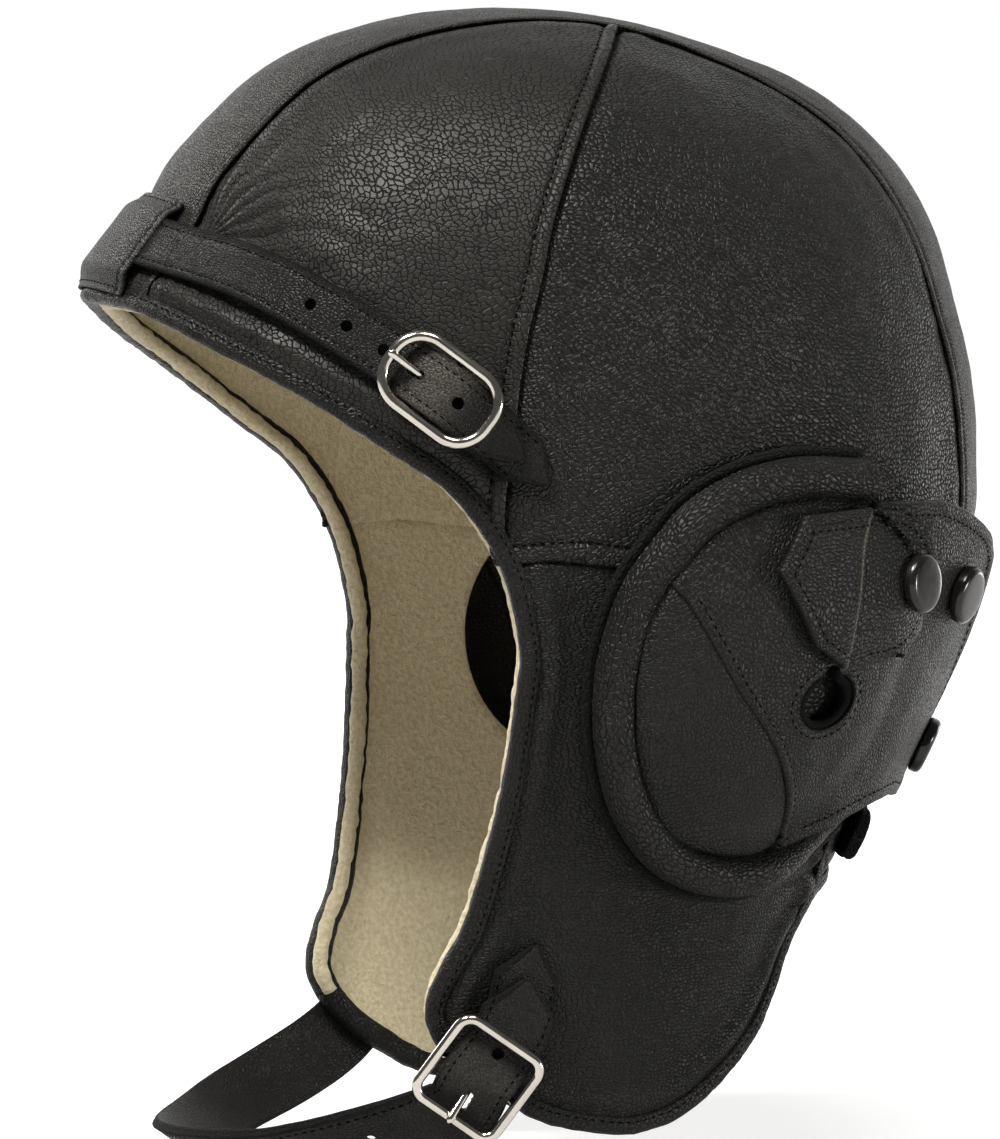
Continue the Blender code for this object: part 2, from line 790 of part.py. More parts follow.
def add_box(name, low, high, matrix):
    """A box cutter between two corners in the frame of a matrix."""
    shape = bmesh.new()
    bmesh.ops.create_cube(shape, size=1.0)
    bmesh.ops.scale(shape, vec=high - low, verts=shape.verts)
    bmesh.ops.translate(shape, vec=(high + low) / 2, verts=shape.verts)
    return add_cutter(name, shape, matrix)


def turned(name, profile, matrix, material, closed=False):
    """A solid of revolution about the Z axis of a matrix; the profile runs from the
    top of the axis down its outer side to the bottom of the axis, or closes."""
    mesh = bpy.data.meshes.new(name)
    edges = [(i, i + 1) for i in range(len(profile) - 1)]
    if closed:
        edges.append((len(profile) - 1, 0))
    mesh.from_pydata([(radius, 0.0, height) for radius, height in profile], edges, [])
    thing = bpy.data.objects.new(name, mesh)
    thing.matrix_world = matrix
    mesh.materials.append(material)
    screw = thing.modifiers.new("turn", "SCREW")
    screw.steps = snap_sides
    screw.render_steps = snap_sides
    screw.use_merge_vertices = True
    screw.merge_threshold = probe_step / 10
    screw.use_smooth_shade = True
    parts.objects.link(thing)
    return thing


def cover_frame(shares, above=0.0):
    """Matrix on the cover's outer face with Z along the cover's own normal."""
    middle = Vector((*shares, 0.0))
    turn, climb = Vector((cover_probe_bearing, 0.0, 0.0)), Vector((0.0, cover_probe_share, 0.0))
    across = on_cover(middle + turn) - on_cover(middle - turn)
    normal = across.cross(on_cover(middle + climb) - on_cover(middle - climb)).normalized()
    return frame_at(on_cover(middle) + normal * above, Vector((0.0, 1.0, 0.0)), normal)


def make_snap(name, shares, stack, above):
    """Cap with its rivet post, socket under the flap, stud on the shell. The stack
    is the leather between cap and socket, and above is what lies on the cover."""
    radius = snap_cap / 2
    cap_bed = cover_frame(shares, above + snap_gap)
    dome = [(radius * out, snap_cap_height * up) for out, up in snap_dome_shares]
    post = snap_post / 2
    profile = dome + [(radius - snap_cap_lip, 0.0), (post, 0.0), (post, -stack), (0.0, -stack)]
    turned(f"snap_cap_{name}_l", profile, cap_bed, snap_black)
    outer, wall, tall = snap_socket / 2, snap_socket_wall, snap_socket_height
    depth = stack + snap_gap + tall - above
    profile = [(0.0, tall), (outer, tall), (outer, 0.0), (outer - wall, 0.0),
               (outer - wall, tall - snap_socket_top), (0.0, tall - snap_socket_top)]
    turned(f"snap_socket_{name}_l", profile, cover_frame(shares, -depth), snap_steel)
    stud_bed = cover_frame(shares)
    ground = seat(stud_bed.translation)
    drop = (ground - stud_bed.translation).dot(stud_bed.col[2].xyz)
    tip = tall - snap_socket_top - seat_gap - depth
    base, post, floor = snap_stud_base / 2, snap_stud_post / 2, drop + snap_stud_gap
    profile = [(0.0, tip), (post, tip), (post, floor + snap_stud_plate), (base, floor + snap_stud_plate),
               (base, floor), (0.0, floor)]
    turned(f"snap_stud_{name}_l", profile, stud_bed, snap_steel)
    return add_cylinder(f"snap_hole_{name}", snap_post / 2 + seat_gap, 4 * stack, cap_bed)


def make_ring():
    """The padded roll round the ear, sewn to the shell; its tail thins out behind."""
    curve = spaced(form_curve(ring_shares), ring_steps)
    rings = []
    for index, point in enumerate(curve):
        left = ease((1.0 - index / ring_steps) / ring_tail_share)
        width = ring_tail_width + (ring_width - ring_tail_width) * left
        height = ring_tail_height + (ring_height - ring_tail_height) * left
        normal = outward(point)
        across = along_of(curve, index).cross(normal).normalized()
        ring = []
        for corner in range(ring_section_sides):
            angle = math.pi * corner / (ring_section_sides - 1)
            up = math.sin(angle)**ring_fullness if corner not in (0, ring_section_sides - 1) else 0.0
            ring.append(point + across * (math.cos(angle) * width / 2) + normal * (bed_gap + up * height))
        rings.append(ring)
    add_loft("ear_ring_l", rings, cup_leather)


def make_cup():
    """The left ear cup: front piece, cover, rear flap, cable patch and tab, snaps."""
    bed = flat_curve(ring_bed_shares)
    split = ring_bed_split * flat_steps
    seam = flat_curve(cover_seam_shares)
    bend = flat_curve(cover_bend_shares)
    half = cover_seam_gap / 2

    rows = cover_rows(bed[split:], seam, point_side(seam[0]), point_side(seam[-1]), cover_pitch)
    add_sheet("ear_front_l", drawn_in(rows, high=half), cover_thickness, cup_leather)

    top = list(reversed(bed[:split + 1]))[:-1] + flat_curve(cover_top_shares)
    rows = cover_rows(seam, bend, top, flat_curve(cover_bottom_shares), cover_pitch)
    rows = drawn_in(rows, low=half, high=bend_gap / 2)
    cover = add_sheet("ear_cover_l", rows, cover_thickness, cup_leather)

    rows = cover_rows(bend, flat_curve(flap_rear_shares), flat_curve(flap_top_shares),
                      flat_curve(flap_bottom_shares), cover_pitch)
    flap = add_sheet("rear_flap_l", drawn_in(rows, low=bend_gap / 2), cover_thickness, cup_leather)

    crease, arc = flat_curve(crease_shares), flat_curve(patch_arc_shares)
    rows = cover_rows(crease, arc, point_side(arc[0]), point_side(arc[-1]), patch_pitch, patch_gap + patch_thickness)
    patch = add_sheet("cable_patch_l", drawn_in(rows, low=crease_gap / 2), patch_thickness, strap_leather)

    edge = [Vector((bearing, share, 0.0)) for bearing, share in tab_edge_shares]
    rows = cover_rows(edge, crease, point_side(crease[0]), point_side(crease[-1]), patch_pitch, patch_gap + tab_thickness)
    add_sheet("cable_tab_l", drawn_in(rows, high=crease_gap / 2), tab_thickness, strap_leather)

    cut(cover, add_cylinder("lead_hole_cutter", lead_hole / 2, cutter_length / 2, cover_frame(lead_hole_shares),
                            snap_sides))
    through = patch_gap + patch_thickness + snap_gap + cover_thickness
    hole = make_snap("front", snap_front_shares, through, patch_gap + patch_thickness)
    cut(cover, hole)
    cut(patch, hole)
    through = snap_gap + cover_thickness
    for name, shares in (("upper", snap_upper_shares), ("lower", snap_lower_shares)):
        cut(flap, make_snap(name, shares, through, 0.0))


make_ring()
make_cup()
opening = add_cylinder("ear_opening_cutter", ear_opening_width / 2, cutter_length,
                       place_frame(*ear_opening_shares, 0.0), cutter_sides, ear_opening_height / ear_opening_width)
for thing in panels + linings:
    if "side_panel" in thing.name or "neck_panel" in thing.name:
        cut(thing, opening)


# Straps

strap_tip_lift = seat_gap + chape_patch + chape_gap
bar_bore = bar_wire / 2 + seat_gap
eye_radius = bar_bore + prong_eye_skin
strap_peak_lift = bar_height + eye_radius + seat_gap


def on_track(track, distance):
    """Point, direction and normal of a strap's path at a distance along it."""
    points = [point for point, normal in track]
    index, piece = 0, (points[1] - points[0]).length
    while distance > piece and index < len(points) - 2:
        distance -= piece
        index += 1
        piece = (points[index + 1] - points[index]).length
    t = distance / piece
    along = along_of(points, index).lerp(along_of(points, index + 1), t).normalized()
    normal = track[index][1].lerp(track[index + 1][1], t)
    return points[index].lerp(points[index + 1], t), along, (normal - along * normal.dot(along)).normalized()


def track_length(track):
    return length_of([point for point, normal in track])


def form_track(curve):
    return [(point, outward(point)) for point in curve]


def even_stops(start, end, pitch):
    """Even distances from start up to end, without the end itself."""
    count = max(1, math.ceil((end - start) / pitch))
    return [start + (end - start) * step / count for step in range(count)]


def ribbon(name, track, stops, width, thickness, material):
    """A strap from stops, each a distance, the lift of its underside and a share of
    its width."""
    rings = []
    for distance, lift, share in stops:
        point, along, normal = on_track(track, distance)
        rings.append(strip_section(point, along, normal, width * share, lift, lift + thickness))
    return add_loft(name, rings, material)


def buckled_stops(total, buckle_at, half):
    """Stops of a strap with pointed ends that passes over a buckle's centre bar."""
    hump = [(buckle_at + reach * half, share) for reach, share in hump_shares]
    stops = [(0.0, strap_lift, strap_point_share)]
    for distance in even_stops(strap_point, hump[0][0], strap_pitch):
        stops.append((distance, strap_lift, 1.0))
    for distance, share in hump:
        base = strap_lift if distance < buckle_at else strap_tip_lift
        stops.append((distance, base + (strap_peak_lift - base) * share, 1.0))
    if hump[-1][0] < total - strap_point:
        stops.append((total - strap_point, strap_tip_lift, 1.0))
    stops.append((total, strap_tip_lift, strap_point_share))
    return stops


def make_buckled_strap(name, track, buckle_at, half, width, hole_steps, hole_pitch):
    """The strap with its slot for the prong and its round holes."""
    total = track_length(track)
    strap = ribbon(f"{name}_strap", track, buckled_stops(total, buckle_at, half), width, strap_thickness,
                   strap_leather)
    matrix = frame_at(*on_track(track, buckle_at))
    reach = prong_wire / 2 + prong_hole_gap
    end = prong_hole_start + prong_hole_length
    cut(strap, add_box(f"{name}_prong_hole_cutter", Vector((-end, -reach, 0.0)),
                       Vector((-prong_hole_start, reach, cut_reach + strap_peak_lift)), matrix))
    middle = buckle_at - prong_hole_start - prong_hole_length / 2
    for number, step in enumerate(hole_steps):
        matrix = frame_at(*on_track(track, middle + step * hole_pitch))
        cut(strap, add_cylinder(f"{name}_hole_cutter_{number}", strap_hole / 2, 2 * cut_reach, matrix))
    return strap


# Buckles

def wire_mesh(name, points, radius, closed, matrix):
    """A round wire along points: a bevelled curve turned into a mesh."""
    line = bpy.data.curves.new(name, "CURVE")
    line.dimensions = "3D"
    line.bevel_depth = radius
    line.bevel_resolution = wire_resolution
    line.use_fill_caps = True
    spline = line.splines.new("POLY")
    spline.points.add(len(points) - 1)
    for place, point in zip(spline.points, points):
        place.co = (*(matrix @ point), 1.0)
    spline.use_cyclic_u = closed
    draft = bpy.data.objects.new(name, line)
    shape = bmesh.new()
    mesh = bpy.data.meshes.new_from_object(draft)
    shape.from_mesh(mesh)
    bpy.data.objects.remove(draft)
    bmesh.ops.remove_doubles(shape, verts=shape.verts, dist=probe_step / 10)
    bmesh.ops.recalc_face_normals(shape, faces=shape.faces)
    shape.to_mesh(mesh)
    shape.free()
    mesh.shade_smooth()
    return mesh


def add_wire(name, points, radius, closed, matrix, material):
    thing = bpy.data.objects.new(name, wire_mesh(name, points, radius, closed, matrix))
    thing.data.materials.append(material)
    parts.objects.link(thing)
    return thing


def add_wire_cutter(name, points, radius, matrix):
    thing = bpy.data.objects.new(name, wire_mesh(name, points, radius, False, matrix))
    cutters.objects.link(thing)
    hide_cutter(thing)
    return thing


def rounded_line(length, width, corner, height):
    """A closed rounded rectangle at one height."""
    points = []
    for quarter, (x, y) in enumerate(((1, 1), (-1, 1), (-1, -1), (1, -1))):
        centre = Vector((x * (length / 2 - corner), y * (width / 2 - corner), height))
        for step in range(corner_steps + 1):
            angle = math.pi / 2 * (quarter + step / corner_steps)
            points.append(centre + Vector((math.cos(angle), math.sin(angle), 0.0)) * corner)
    return points


def make_buckle(name, track, buckle_at, length, width, wire, corner, strap_width, chape_reach):
    """Buckle frame with its dropped centre bar, prong with its eye round the bar, and
    the leather chape whose loop holds the bar."""
    matrix = frame_at(*on_track(track, buckle_at))
    rail = (width - wire) / 2
    bar_half = strap_width / 2 - chape_side_gap + seat_gap
    frame = add_wire(f"{name}_buckle_frame", rounded_line(length - wire, width - wire, corner, frame_height),
                     wire / 2, True, matrix, nickel)
    bar = [Vector((0.0, -rail, frame_height)), Vector((0.0, -bar_half, bar_height)),
           Vector((0.0, bar_half, bar_height)), Vector((0.0, rail, frame_height))]
    cut(frame, add_wire_cutter(f"{name}_centre_bar", bar, bar_wire / 2, matrix), "UNION")

    across = matrix @ Matrix.Translation((0.0, 0.0, bar_height)) @ Matrix.Rotation(math.pi / 2, 4, "X")
    half = prong_eye_width / 2
    profile = [(bar_bore, half), (eye_radius, half), (eye_radius, -half), (bar_bore, -half)]
    prong = turned(f"{name}_prong", profile, across, nickel, closed=True)
    end_bar = Vector((-(length - wire) / 2, 0.0, frame_height + wire / 2 + seat_gap + prong_wire / 2))
    start = Vector((0.0, 0.0, bar_height))
    run = (end_bar - start).normalized()
    shank = [start + run * (bar_bore + eye_radius) / 2, end_bar + run * prong_overhang]
    cut(prong, add_wire_cutter(f"{name}_prong_shank", shank, prong_wire / 2, matrix), "UNION")

    total = buckle_at + chape_reach
    stops = [(distance, seat_gap, 1.0) for distance in even_stops(buckle_at + chape_patch, total - strap_point, strap_pitch)]
    stops += [(total - strap_point, seat_gap, 1.0), (total, seat_gap, strap_point_share)]
    chape_width = strap_width - 2 * chape_side_gap
    chape = ribbon(f"{name}_chape", track, stops, chape_width, chape_patch, strap_leather)
    loop = []
    for step in range(hole_sides // 2 + 1):
        angle = math.pi / 2 + 2 * math.pi * step / hole_sides
        loop.append((eye_radius * math.cos(angle), bar_height + eye_radius * math.sin(angle)))
    loop += [(chape_fall, seat_gap), (chape_fall, chape_patch / 2)]
    loop_half = (chape_width - seat_gap) / 2
    rings = [[matrix @ Vector((x, y, z)) for x, z in loop] for y in (-loop_half, loop_half)]
    cut(chape, add_loft(f"{name}_chape_loop", rings, strap_leather, collection=cutters), "UNION")
    cut(chape, add_cylinder(f"{name}_bore_cutter", bar_bore, strap_width, across))
    reach = prong_slot / 2
    cut(chape, add_box(f"{name}_slot_cutter", Vector((-eye_radius - seat_gap, -reach, -cut_reach)),
                       Vector((eye_radius + seat_gap, reach, cut_reach)), matrix))
    for cutter in cutters.objects:
        hide_cutter(cutter)


brow_curve = form_curve(brow_strap_shares)
brow_track = form_track(brow_curve)
brow_buckle_at = length_of(brow_curve[:brow_buckle_index * curve_steps + 1])
chape_end = spot(*brow_chape_end)
make_buckled_strap("brow", brow_track, brow_buckle_at, brow_buckle_length / 2, brow_strap_width,
                   brow_hole_steps, brow_hole_pitch)
chape_curve = smooth_curve(brow_curve[::curve_steps] + [chape_end])
make_buckle("brow", form_track([seat(point) for point in chape_curve]), brow_buckle_at, brow_buckle_length,
            brow_buckle_width, brow_wire, brow_corner, brow_strap_width, brow_chape_reach)

keeper_x = [keeper_half_width * (2 * column / keeper_columns - 1) for column in range(keeper_columns + 1)]
low_lift = seat_gap + keeper_thickness
high_lift = strap_lift + strap_thickness + keeper_gap + keeper_thickness
keeper_lifts = (low_lift, high_lift, high_lift, low_lift)
strap_middle = spot(*brow_strap_shares[len(brow_strap_shares) // 2])
strap_turn = math.degrees(math.atan2(strap_middle.z, -strap_middle.y))
rows = []
for index, count in enumerate(keeper_row_steps):
    for step in range(count + (index == len(keeper_row_steps) - 1)):
        t = step / count
        turn = strap_turn + keeper_turns[index] + (keeper_turns[index + 1] - keeper_turns[index]) * t
        lift = keeper_lifts[index] + (keeper_lifts[index + 1] - keeper_lifts[index]) * ease(t)
        rows.append([crest(x, turn, lift) for x in keeper_x])
add_sheet("forehead_keeper", rows, keeper_thickness, strap_leather)

chin_anchor, chin_side = spot(*chin_apex_shares), spot(*chin_buckle_shares)
chin_tip, chin_turn, chin_low = spot(*chin_tip_shares), Vector(chin_turn_point), Vector(chin_low_point)
chin_run = Vector(chin_run_shares).normalized() * chin_buckle_length * chin_guide_share
chin_points = [chin_anchor] + mirrored([chin_side, chin_turn]) + [
    chin_low, chin_turn, chin_side - chin_run, chin_side, chin_side + chin_run, chin_tip]
turn_normal = Vector(chin_turn_normal)
chin_normals = ([outward(chin_points[0]), outward(chin_points[1])] + mirrored([turn_normal])
                + [Vector(chin_low_normal), turn_normal] + [outward(chin_side)] * 3 + [outward(chin_tip)])
chin_curve = smooth_curve(chin_points)
chin_track = list(zip(chin_curve, smooth_curve(chin_normals)))
chin_buckle_at = length_of(chin_curve[:chin_buckle_index * curve_steps + 1])
make_buckled_strap("chin", chin_track, chin_buckle_at, chin_buckle_length / 2, chin_strap_width,
                   chin_hole_steps, chin_hole_pitch)
chape_end = spot(*chin_chape_end)
chape_points = chin_points + [chape_end]
chape_normals = chin_normals + [outward(chape_end)]
chape_track = list(zip(smooth_curve(chape_points), smooth_curve(chape_normals)))
make_buckle("chin", chape_track, chin_buckle_at, chin_buckle_length, chin_buckle_width, chin_wire, chin_corner,
            chin_strap_width, chin_chape_reach)

nape_curve = [spot(nape_strap_bearing + (180.0 - nape_strap_bearing) * step / curve_steps, nape_strap_share)
              for step in range(curve_steps + 1)]
nape_track = form_track(nape_curve + list(reversed(mirrored(nape_curve)))[1:])
total, radius = track_length(nape_track), nape_strap_width / 2
ends = []
for step in range(nape_end_steps):
    angle = math.pi / 2 * (step + 0.5) / nape_end_steps
    ends.append((radius * (1.0 - math.cos(angle)), math.sin(angle)))
stops = [(distance, nape_strap_rise, share) for distance, share in ends]
stops += [(distance, nape_strap_rise, 1.0) for distance in even_stops(radius, total - radius, nape_strap_pitch)]
stops.append((total - radius, nape_strap_rise, 1.0))
stops += [(total - distance, nape_strap_rise, share) for distance, share in reversed(ends)]
ribbon("nape_strap", nape_track, stops, nape_strap_width, nape_strap_thickness, strap_leather)


# Right-hand twins of the left pieces

def make_twin(thing, graph):
    """The mirror image of a finished left piece."""
    mesh = bpy.data.meshes.new_from_object(thing.evaluated_get(graph))
    shape = bmesh.new()
    shape.from_mesh(mesh)
    bmesh.ops.transform(shape, matrix=Matrix.Diagonal((-1.0, 1.0, 1.0, 1.0)) @ thing.matrix_world, verts=shape.verts)
    bmesh.ops.reverse_faces(shape, faces=shape.faces)
    shape.to_mesh(mesh)
    shape.free()
    twin = bpy.data.objects.new(thing.name.removesuffix("_l") + "_r", mesh)
    parts.objects.link(twin)


graph = bpy.context.evaluated_depsgraph_get()
for thing in [thing for thing in parts.objects if thing.name.endswith("_l")]:
    make_twin(thing, graph)
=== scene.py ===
# %% [markdown]
# # A leather flying helmet, step by step
# This lesson dresses a plain CAD frame of an old flying helmet in worn black leather.
# The frame gives every place and every hinge. Each step makes one piece or one finish,
# says what it is on the real helmet, and then builds it on the same head form.

# %% Load the frame
import json
import math
from contextlib import contextmanager
import bpy
import bmesh
import numpy as np
from mathutils import Matrix, Vector, noise
from mathutils.bvhtree import BVHTree


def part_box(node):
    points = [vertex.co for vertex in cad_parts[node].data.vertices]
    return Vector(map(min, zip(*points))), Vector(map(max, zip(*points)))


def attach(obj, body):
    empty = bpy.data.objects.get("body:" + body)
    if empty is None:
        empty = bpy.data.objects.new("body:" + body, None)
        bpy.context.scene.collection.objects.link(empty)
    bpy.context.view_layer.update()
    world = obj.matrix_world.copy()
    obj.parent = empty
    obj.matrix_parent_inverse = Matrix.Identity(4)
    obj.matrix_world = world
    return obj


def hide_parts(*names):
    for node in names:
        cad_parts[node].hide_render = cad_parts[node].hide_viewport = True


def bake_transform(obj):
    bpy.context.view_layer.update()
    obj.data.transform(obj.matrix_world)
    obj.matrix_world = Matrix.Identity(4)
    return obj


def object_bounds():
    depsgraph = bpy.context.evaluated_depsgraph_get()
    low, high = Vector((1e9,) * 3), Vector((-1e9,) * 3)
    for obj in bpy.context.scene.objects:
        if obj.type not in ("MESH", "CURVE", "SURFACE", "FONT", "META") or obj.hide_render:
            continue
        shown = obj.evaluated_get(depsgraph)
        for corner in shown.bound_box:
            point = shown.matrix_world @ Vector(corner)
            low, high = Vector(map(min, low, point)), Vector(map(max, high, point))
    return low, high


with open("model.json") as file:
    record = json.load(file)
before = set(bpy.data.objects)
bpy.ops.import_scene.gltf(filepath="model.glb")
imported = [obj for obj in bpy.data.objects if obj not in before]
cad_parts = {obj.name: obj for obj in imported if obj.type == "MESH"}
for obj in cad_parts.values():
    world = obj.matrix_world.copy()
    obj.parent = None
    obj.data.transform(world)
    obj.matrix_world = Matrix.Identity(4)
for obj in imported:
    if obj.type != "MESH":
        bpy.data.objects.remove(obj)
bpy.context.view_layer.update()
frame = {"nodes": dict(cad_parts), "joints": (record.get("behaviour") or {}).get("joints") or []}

MM = 0.001
scene = bpy.context.scene

# %% [markdown]
# ## The head form
# Every panel of the helmet lies on one smooth head shape: an egg in plan whose sections
# shrink towards the neck, and a rounded crown above. Working with arrays of points keeps
# it quick, so the form is written as functions of whole arrays.

# %% Sections of the head
SECTIONS = np.array([(0.0, 80.0, 106.0, 101.0), (-45.036, 77.0, 101.0, 84.5),
                     (-89.933, 65.0, 88.0, 63.5), (-139.0, 55.5, 77.0, 53.0)]) * MM
CROWN, SKIRT, POWER = 104.5 * MM, 139.0 * MM, 2.4


def section_sizes(level):
    """Half width, front and back of the head at each level."""
    level = np.minimum(level, 0.0)
    z = SECTIONS[:, 0]
    index = np.clip(np.sum(level[..., None] < z[1:3], axis=-1), 0, 2)
    slope = np.zeros_like(SECTIONS)
    slope[1] = (SECTIONS[2] - SECTIONS[0]) / (z[2] - z[0])
    slope[2] = (SECTIONS[3] - SECTIONS[1]) / (z[3] - z[1])
    slope[3] = (SECTIONS[3] - SECTIONS[2]) / (z[3] - z[2])
    step = (z[index + 1] - z[index])
    t = ((level - z[index]) / step)[..., None]
    a, b = SECTIONS[index][..., 1:], SECTIONS[index + 1][..., 1:]
    da, db = slope[index][..., 1:] * step[..., None], slope[index + 1][..., 1:] * step[..., None]
    return (a * (2 * t**3 - 3 * t**2 + 1) + da * (t**3 - 2 * t**2 + t)
            + b * (3 * t**2 - 2 * t**3) + db * (t**3 - t**2))


def form_ratio(points):
    """How far out each point lies: 1 on the head form, more outside it."""
    sizes = section_sizes(points[..., 2])
    depth = np.where(points[..., 1] < 0.0, sizes[..., 1], sizes[..., 2])
    plan = np.hypot(points[..., 0] / sizes[..., 0], points[..., 1] / depth)
    high = np.maximum(points[..., 2], 0.0) / CROWN
    return np.where(points[..., 2] > 0.0, (plan**POWER + high**POWER)**(1 / POWER), plan)


def outward(points):
    """Unit normals of the head form."""
    slope = np.stack([form_ratio(points + step) - form_ratio(points - step)
                      for step in np.eye(3) * 0.05 * MM], axis=-1)
    return slope / np.maximum(np.linalg.norm(slope, axis=-1, keepdims=True), 1e-12)


# %% Places on the head form
def seat(points, lift=0.0):
    """Bring points onto the form, then lift them off along its normal."""
    points = np.asarray(points, float)
    ratio = form_ratio(points)[..., None]
    above = points / ratio
    beside = np.concatenate([points[..., :2] / ratio, points[..., 2:]], axis=-1)
    seated = np.where(points[..., 2:] > 0.0, above, beside)
    return seated + outward(seated) * np.asarray(lift)[..., None]


def spot(bearing, share, lift=0.0):
    """Places by bearing from the face, in degrees, and by share of the height."""
    bearing, share = np.asarray(bearing, float), np.asarray(share, float)
    level = np.where(share > 0.0, share * CROWN, share * SKIRT)
    shrink = np.where(share > 0.0, (1.0 - np.clip(share, 0, 1)**POWER)**(1 / POWER), 1.0)
    angle = np.radians(bearing)
    sizes = section_sizes(level)
    depth = np.where(np.cos(angle) > 0.0, sizes[..., 1], sizes[..., 2])
    points = np.stack([sizes[..., 0] * shrink * np.sin(angle), -depth * shrink * np.cos(angle), level], axis=-1)
    return seat(points, lift)


def crest(across, turn, lift=0.0):
    """Places beside the middle line: turn 0 ahead, 90 on top, 180 behind."""
    across, turn = np.broadcast_arrays(np.asarray(across, float), np.asarray(turn, float))
    angle = np.radians(turn)
    ray = np.stack([np.zeros_like(angle), -np.cos(angle), np.sin(angle)], axis=-1)
    side = np.stack([across, np.zeros_like(angle), np.zeros_like(angle)], axis=-1)
    near, far = np.zeros_like(angle), np.full_like(angle, 0.25)
    for _ in range(36):
        middle = (near + far) / 2
        out = form_ratio(ray * middle[..., None] + side) > 1.0
        far, near = np.where(out, middle, far), np.where(out, near, middle)
    over = seat(ray * near[..., None] + side, 0.0)
    level = -np.radians(np.maximum(turn, 180.0) - 180.0) * SECTIONS[0, 3]
    sizes = section_sizes(level)
    back = np.sqrt(np.maximum(1.0 - (across / sizes[..., 0])**2, 0.0)) * sizes[..., 2]
    down = np.stack([across, back, level], axis=-1)
    points = np.where((turn > 180.0)[..., None], seat(down, 0.0), over)
    return points + outward(points) * np.asarray(lift)[..., None]


print("crown", np.round(crest(0.0, 90.0) / MM, 1), "ear", np.round(spot(90.0, -0.3) / MM, 1))

# %% A chart for the grain
LEVELS = np.linspace(-1.1 * SKIRT, 0.999 * CROWN, 240)
side_line = section_sizes(LEVELS)[:, 0] * (1.0 - np.clip(LEVELS / CROWN, 0.0, 1.0)**POWER)**(1 / POWER)
WALKED = np.concatenate([[0.0], np.cumsum(np.hypot(np.diff(side_line), np.diff(LEVELS)))])


def chart(points):
    """Where a point lies on the skin, in metres: round the head, and up its side."""
    sizes = section_sizes(points[..., 2])
    depth = np.where(points[..., 1] < 0.0, sizes[..., 1], sizes[..., 2])
    across, ahead = points[..., 0] / sizes[..., 0], -points[..., 1] / depth
    around = (np.arctan2(across, ahead) - np.pi / 2) * np.hypot(across, ahead) * (sizes[..., 0] + depth) / 2
    return np.stack([around, np.interp(points[..., 2], LEVELS, WALKED)], axis=-1)


print("chart height", round(WALKED[-1] / MM), "mm")

# %% Curves on the form
STEPS = 16


def smooth_curve(points, steps=STEPS):
    """A smooth curve through the points."""
    points = np.asarray(points, float)
    p = np.concatenate([points[:1], points, points[-1:]])
    t = (np.arange(steps) / steps)[:, None]
    runs = []
    for i in range(len(points) - 1):
        p0, p1, p2, p3 = p[i], p[i + 1], p[i + 2], p[i + 3]
        runs.append((p1 * 2 + (p2 - p0) * t + (p0 * 2 - p1 * 5 + p2 * 4 - p3) * t**2
                     + (p1 * 3 - p0 - p2 * 3 + p3) * t**3) * 0.5)
    return np.concatenate(runs + [points[-1:]])


def lengths(curve):
    """Distance along a curve at each of its points."""
    return np.concatenate([[0.0], np.cumsum(np.linalg.norm(np.diff(curve, axis=0), axis=1))])


def resample(curve, steps):
    """The curve in equal steps, or at given shares of its length."""
    walked = lengths(curve)
    goals = walked[-1] * (np.linspace(0.0, 1.0, steps + 1) if np.isscalar(steps) else steps)
    return np.stack([np.interp(goals, walked, curve[:, k]) for k in range(curve.shape[1])], axis=1)


def form_curve(shares):
    """A smooth curve on the head form through (bearing, share) pairs."""
    shares = np.array(shares)
    return smooth_curve(spot(shares[:, 0], shares[:, 1]))


def unit(vectors):
    """Vectors made one long."""
    return vectors / np.maximum(np.linalg.norm(vectors, axis=-1, keepdims=True), 1e-12)


def tangents(curve):
    """Direction of a curve at each of its points."""
    return unit(np.gradient(curve, axis=0))


def moved_in(curve, distance):
    """A curve on the form moved sideways, to the left of its run seen from outside."""
    side = unit(np.cross(outward(curve), tangents(curve)))
    return seat(curve + side * np.asarray(distance)[..., None])


def patch(low, high, left, right, across, along):
    """A grid of points between four sides."""
    across = np.linspace(0.0, 1.0, across + 1) if np.isscalar(across) else across
    along = np.linspace(0.0, 1.0, along + 1) if np.isscalar(along) else along
    low, high = resample(low, across), resample(high, across)
    left, right = resample(left, along), resample(right, along)
    u, v = across[None, :, None], along[:, None, None]
    corner = (low[0] * (1 - u) + low[-1] * u) * (1 - v) + (high[0] * (1 - u) + high[-1] * u) * v
    return low[None] * (1 - v) + high[None] * v + left[:, None] * (1 - u) + right[:, None] * u - corner


# %% Steps, easing and distance
def stepped(length, pitch, start=True, end=True, fine=0.42 * MM, reach=9.0 * MM):
    """Shares of a length in steps of one pitch, much finer near the chosen ends."""
    first, last = reach * start, length - reach * end
    parts = [np.arange(0.0, first, fine), np.linspace(first, last, max(2, round((last - first) / pitch) + 1))]
    if end:
        parts.append(length - np.arange(0.0, reach, fine)[::-1])
    return np.concatenate(parts) / length


def ease(value):
    """A smooth step from 0 to 1."""
    value = np.clip(value, 0.0, 1.0)
    return value * value * (3.0 - 2.0 * value)


def hump(value, width):
    """A round bump of a given half width, 1 at its middle."""
    return np.exp(-(value / width)**2)


def from_curve(points, curve):
    """Shortest distance from each point to a curve."""
    flat = points.reshape(-1, 3)
    a, b = curve[:-1], curve[1:]
    run = b - a
    best = np.full(len(flat), 1e9)
    for start in range(0, len(flat), 4000):
        p = flat[start:start + 4000, None] - a[None]
        t = np.clip(np.sum(p * run, axis=2) / np.maximum(np.sum(run * run, axis=1), 1e-18), 0.0, 1.0)
        best[start:start + 4000] = np.linalg.norm(p - run * t[..., None], axis=2).min(axis=1)
    return best.reshape(points.shape[:-1])


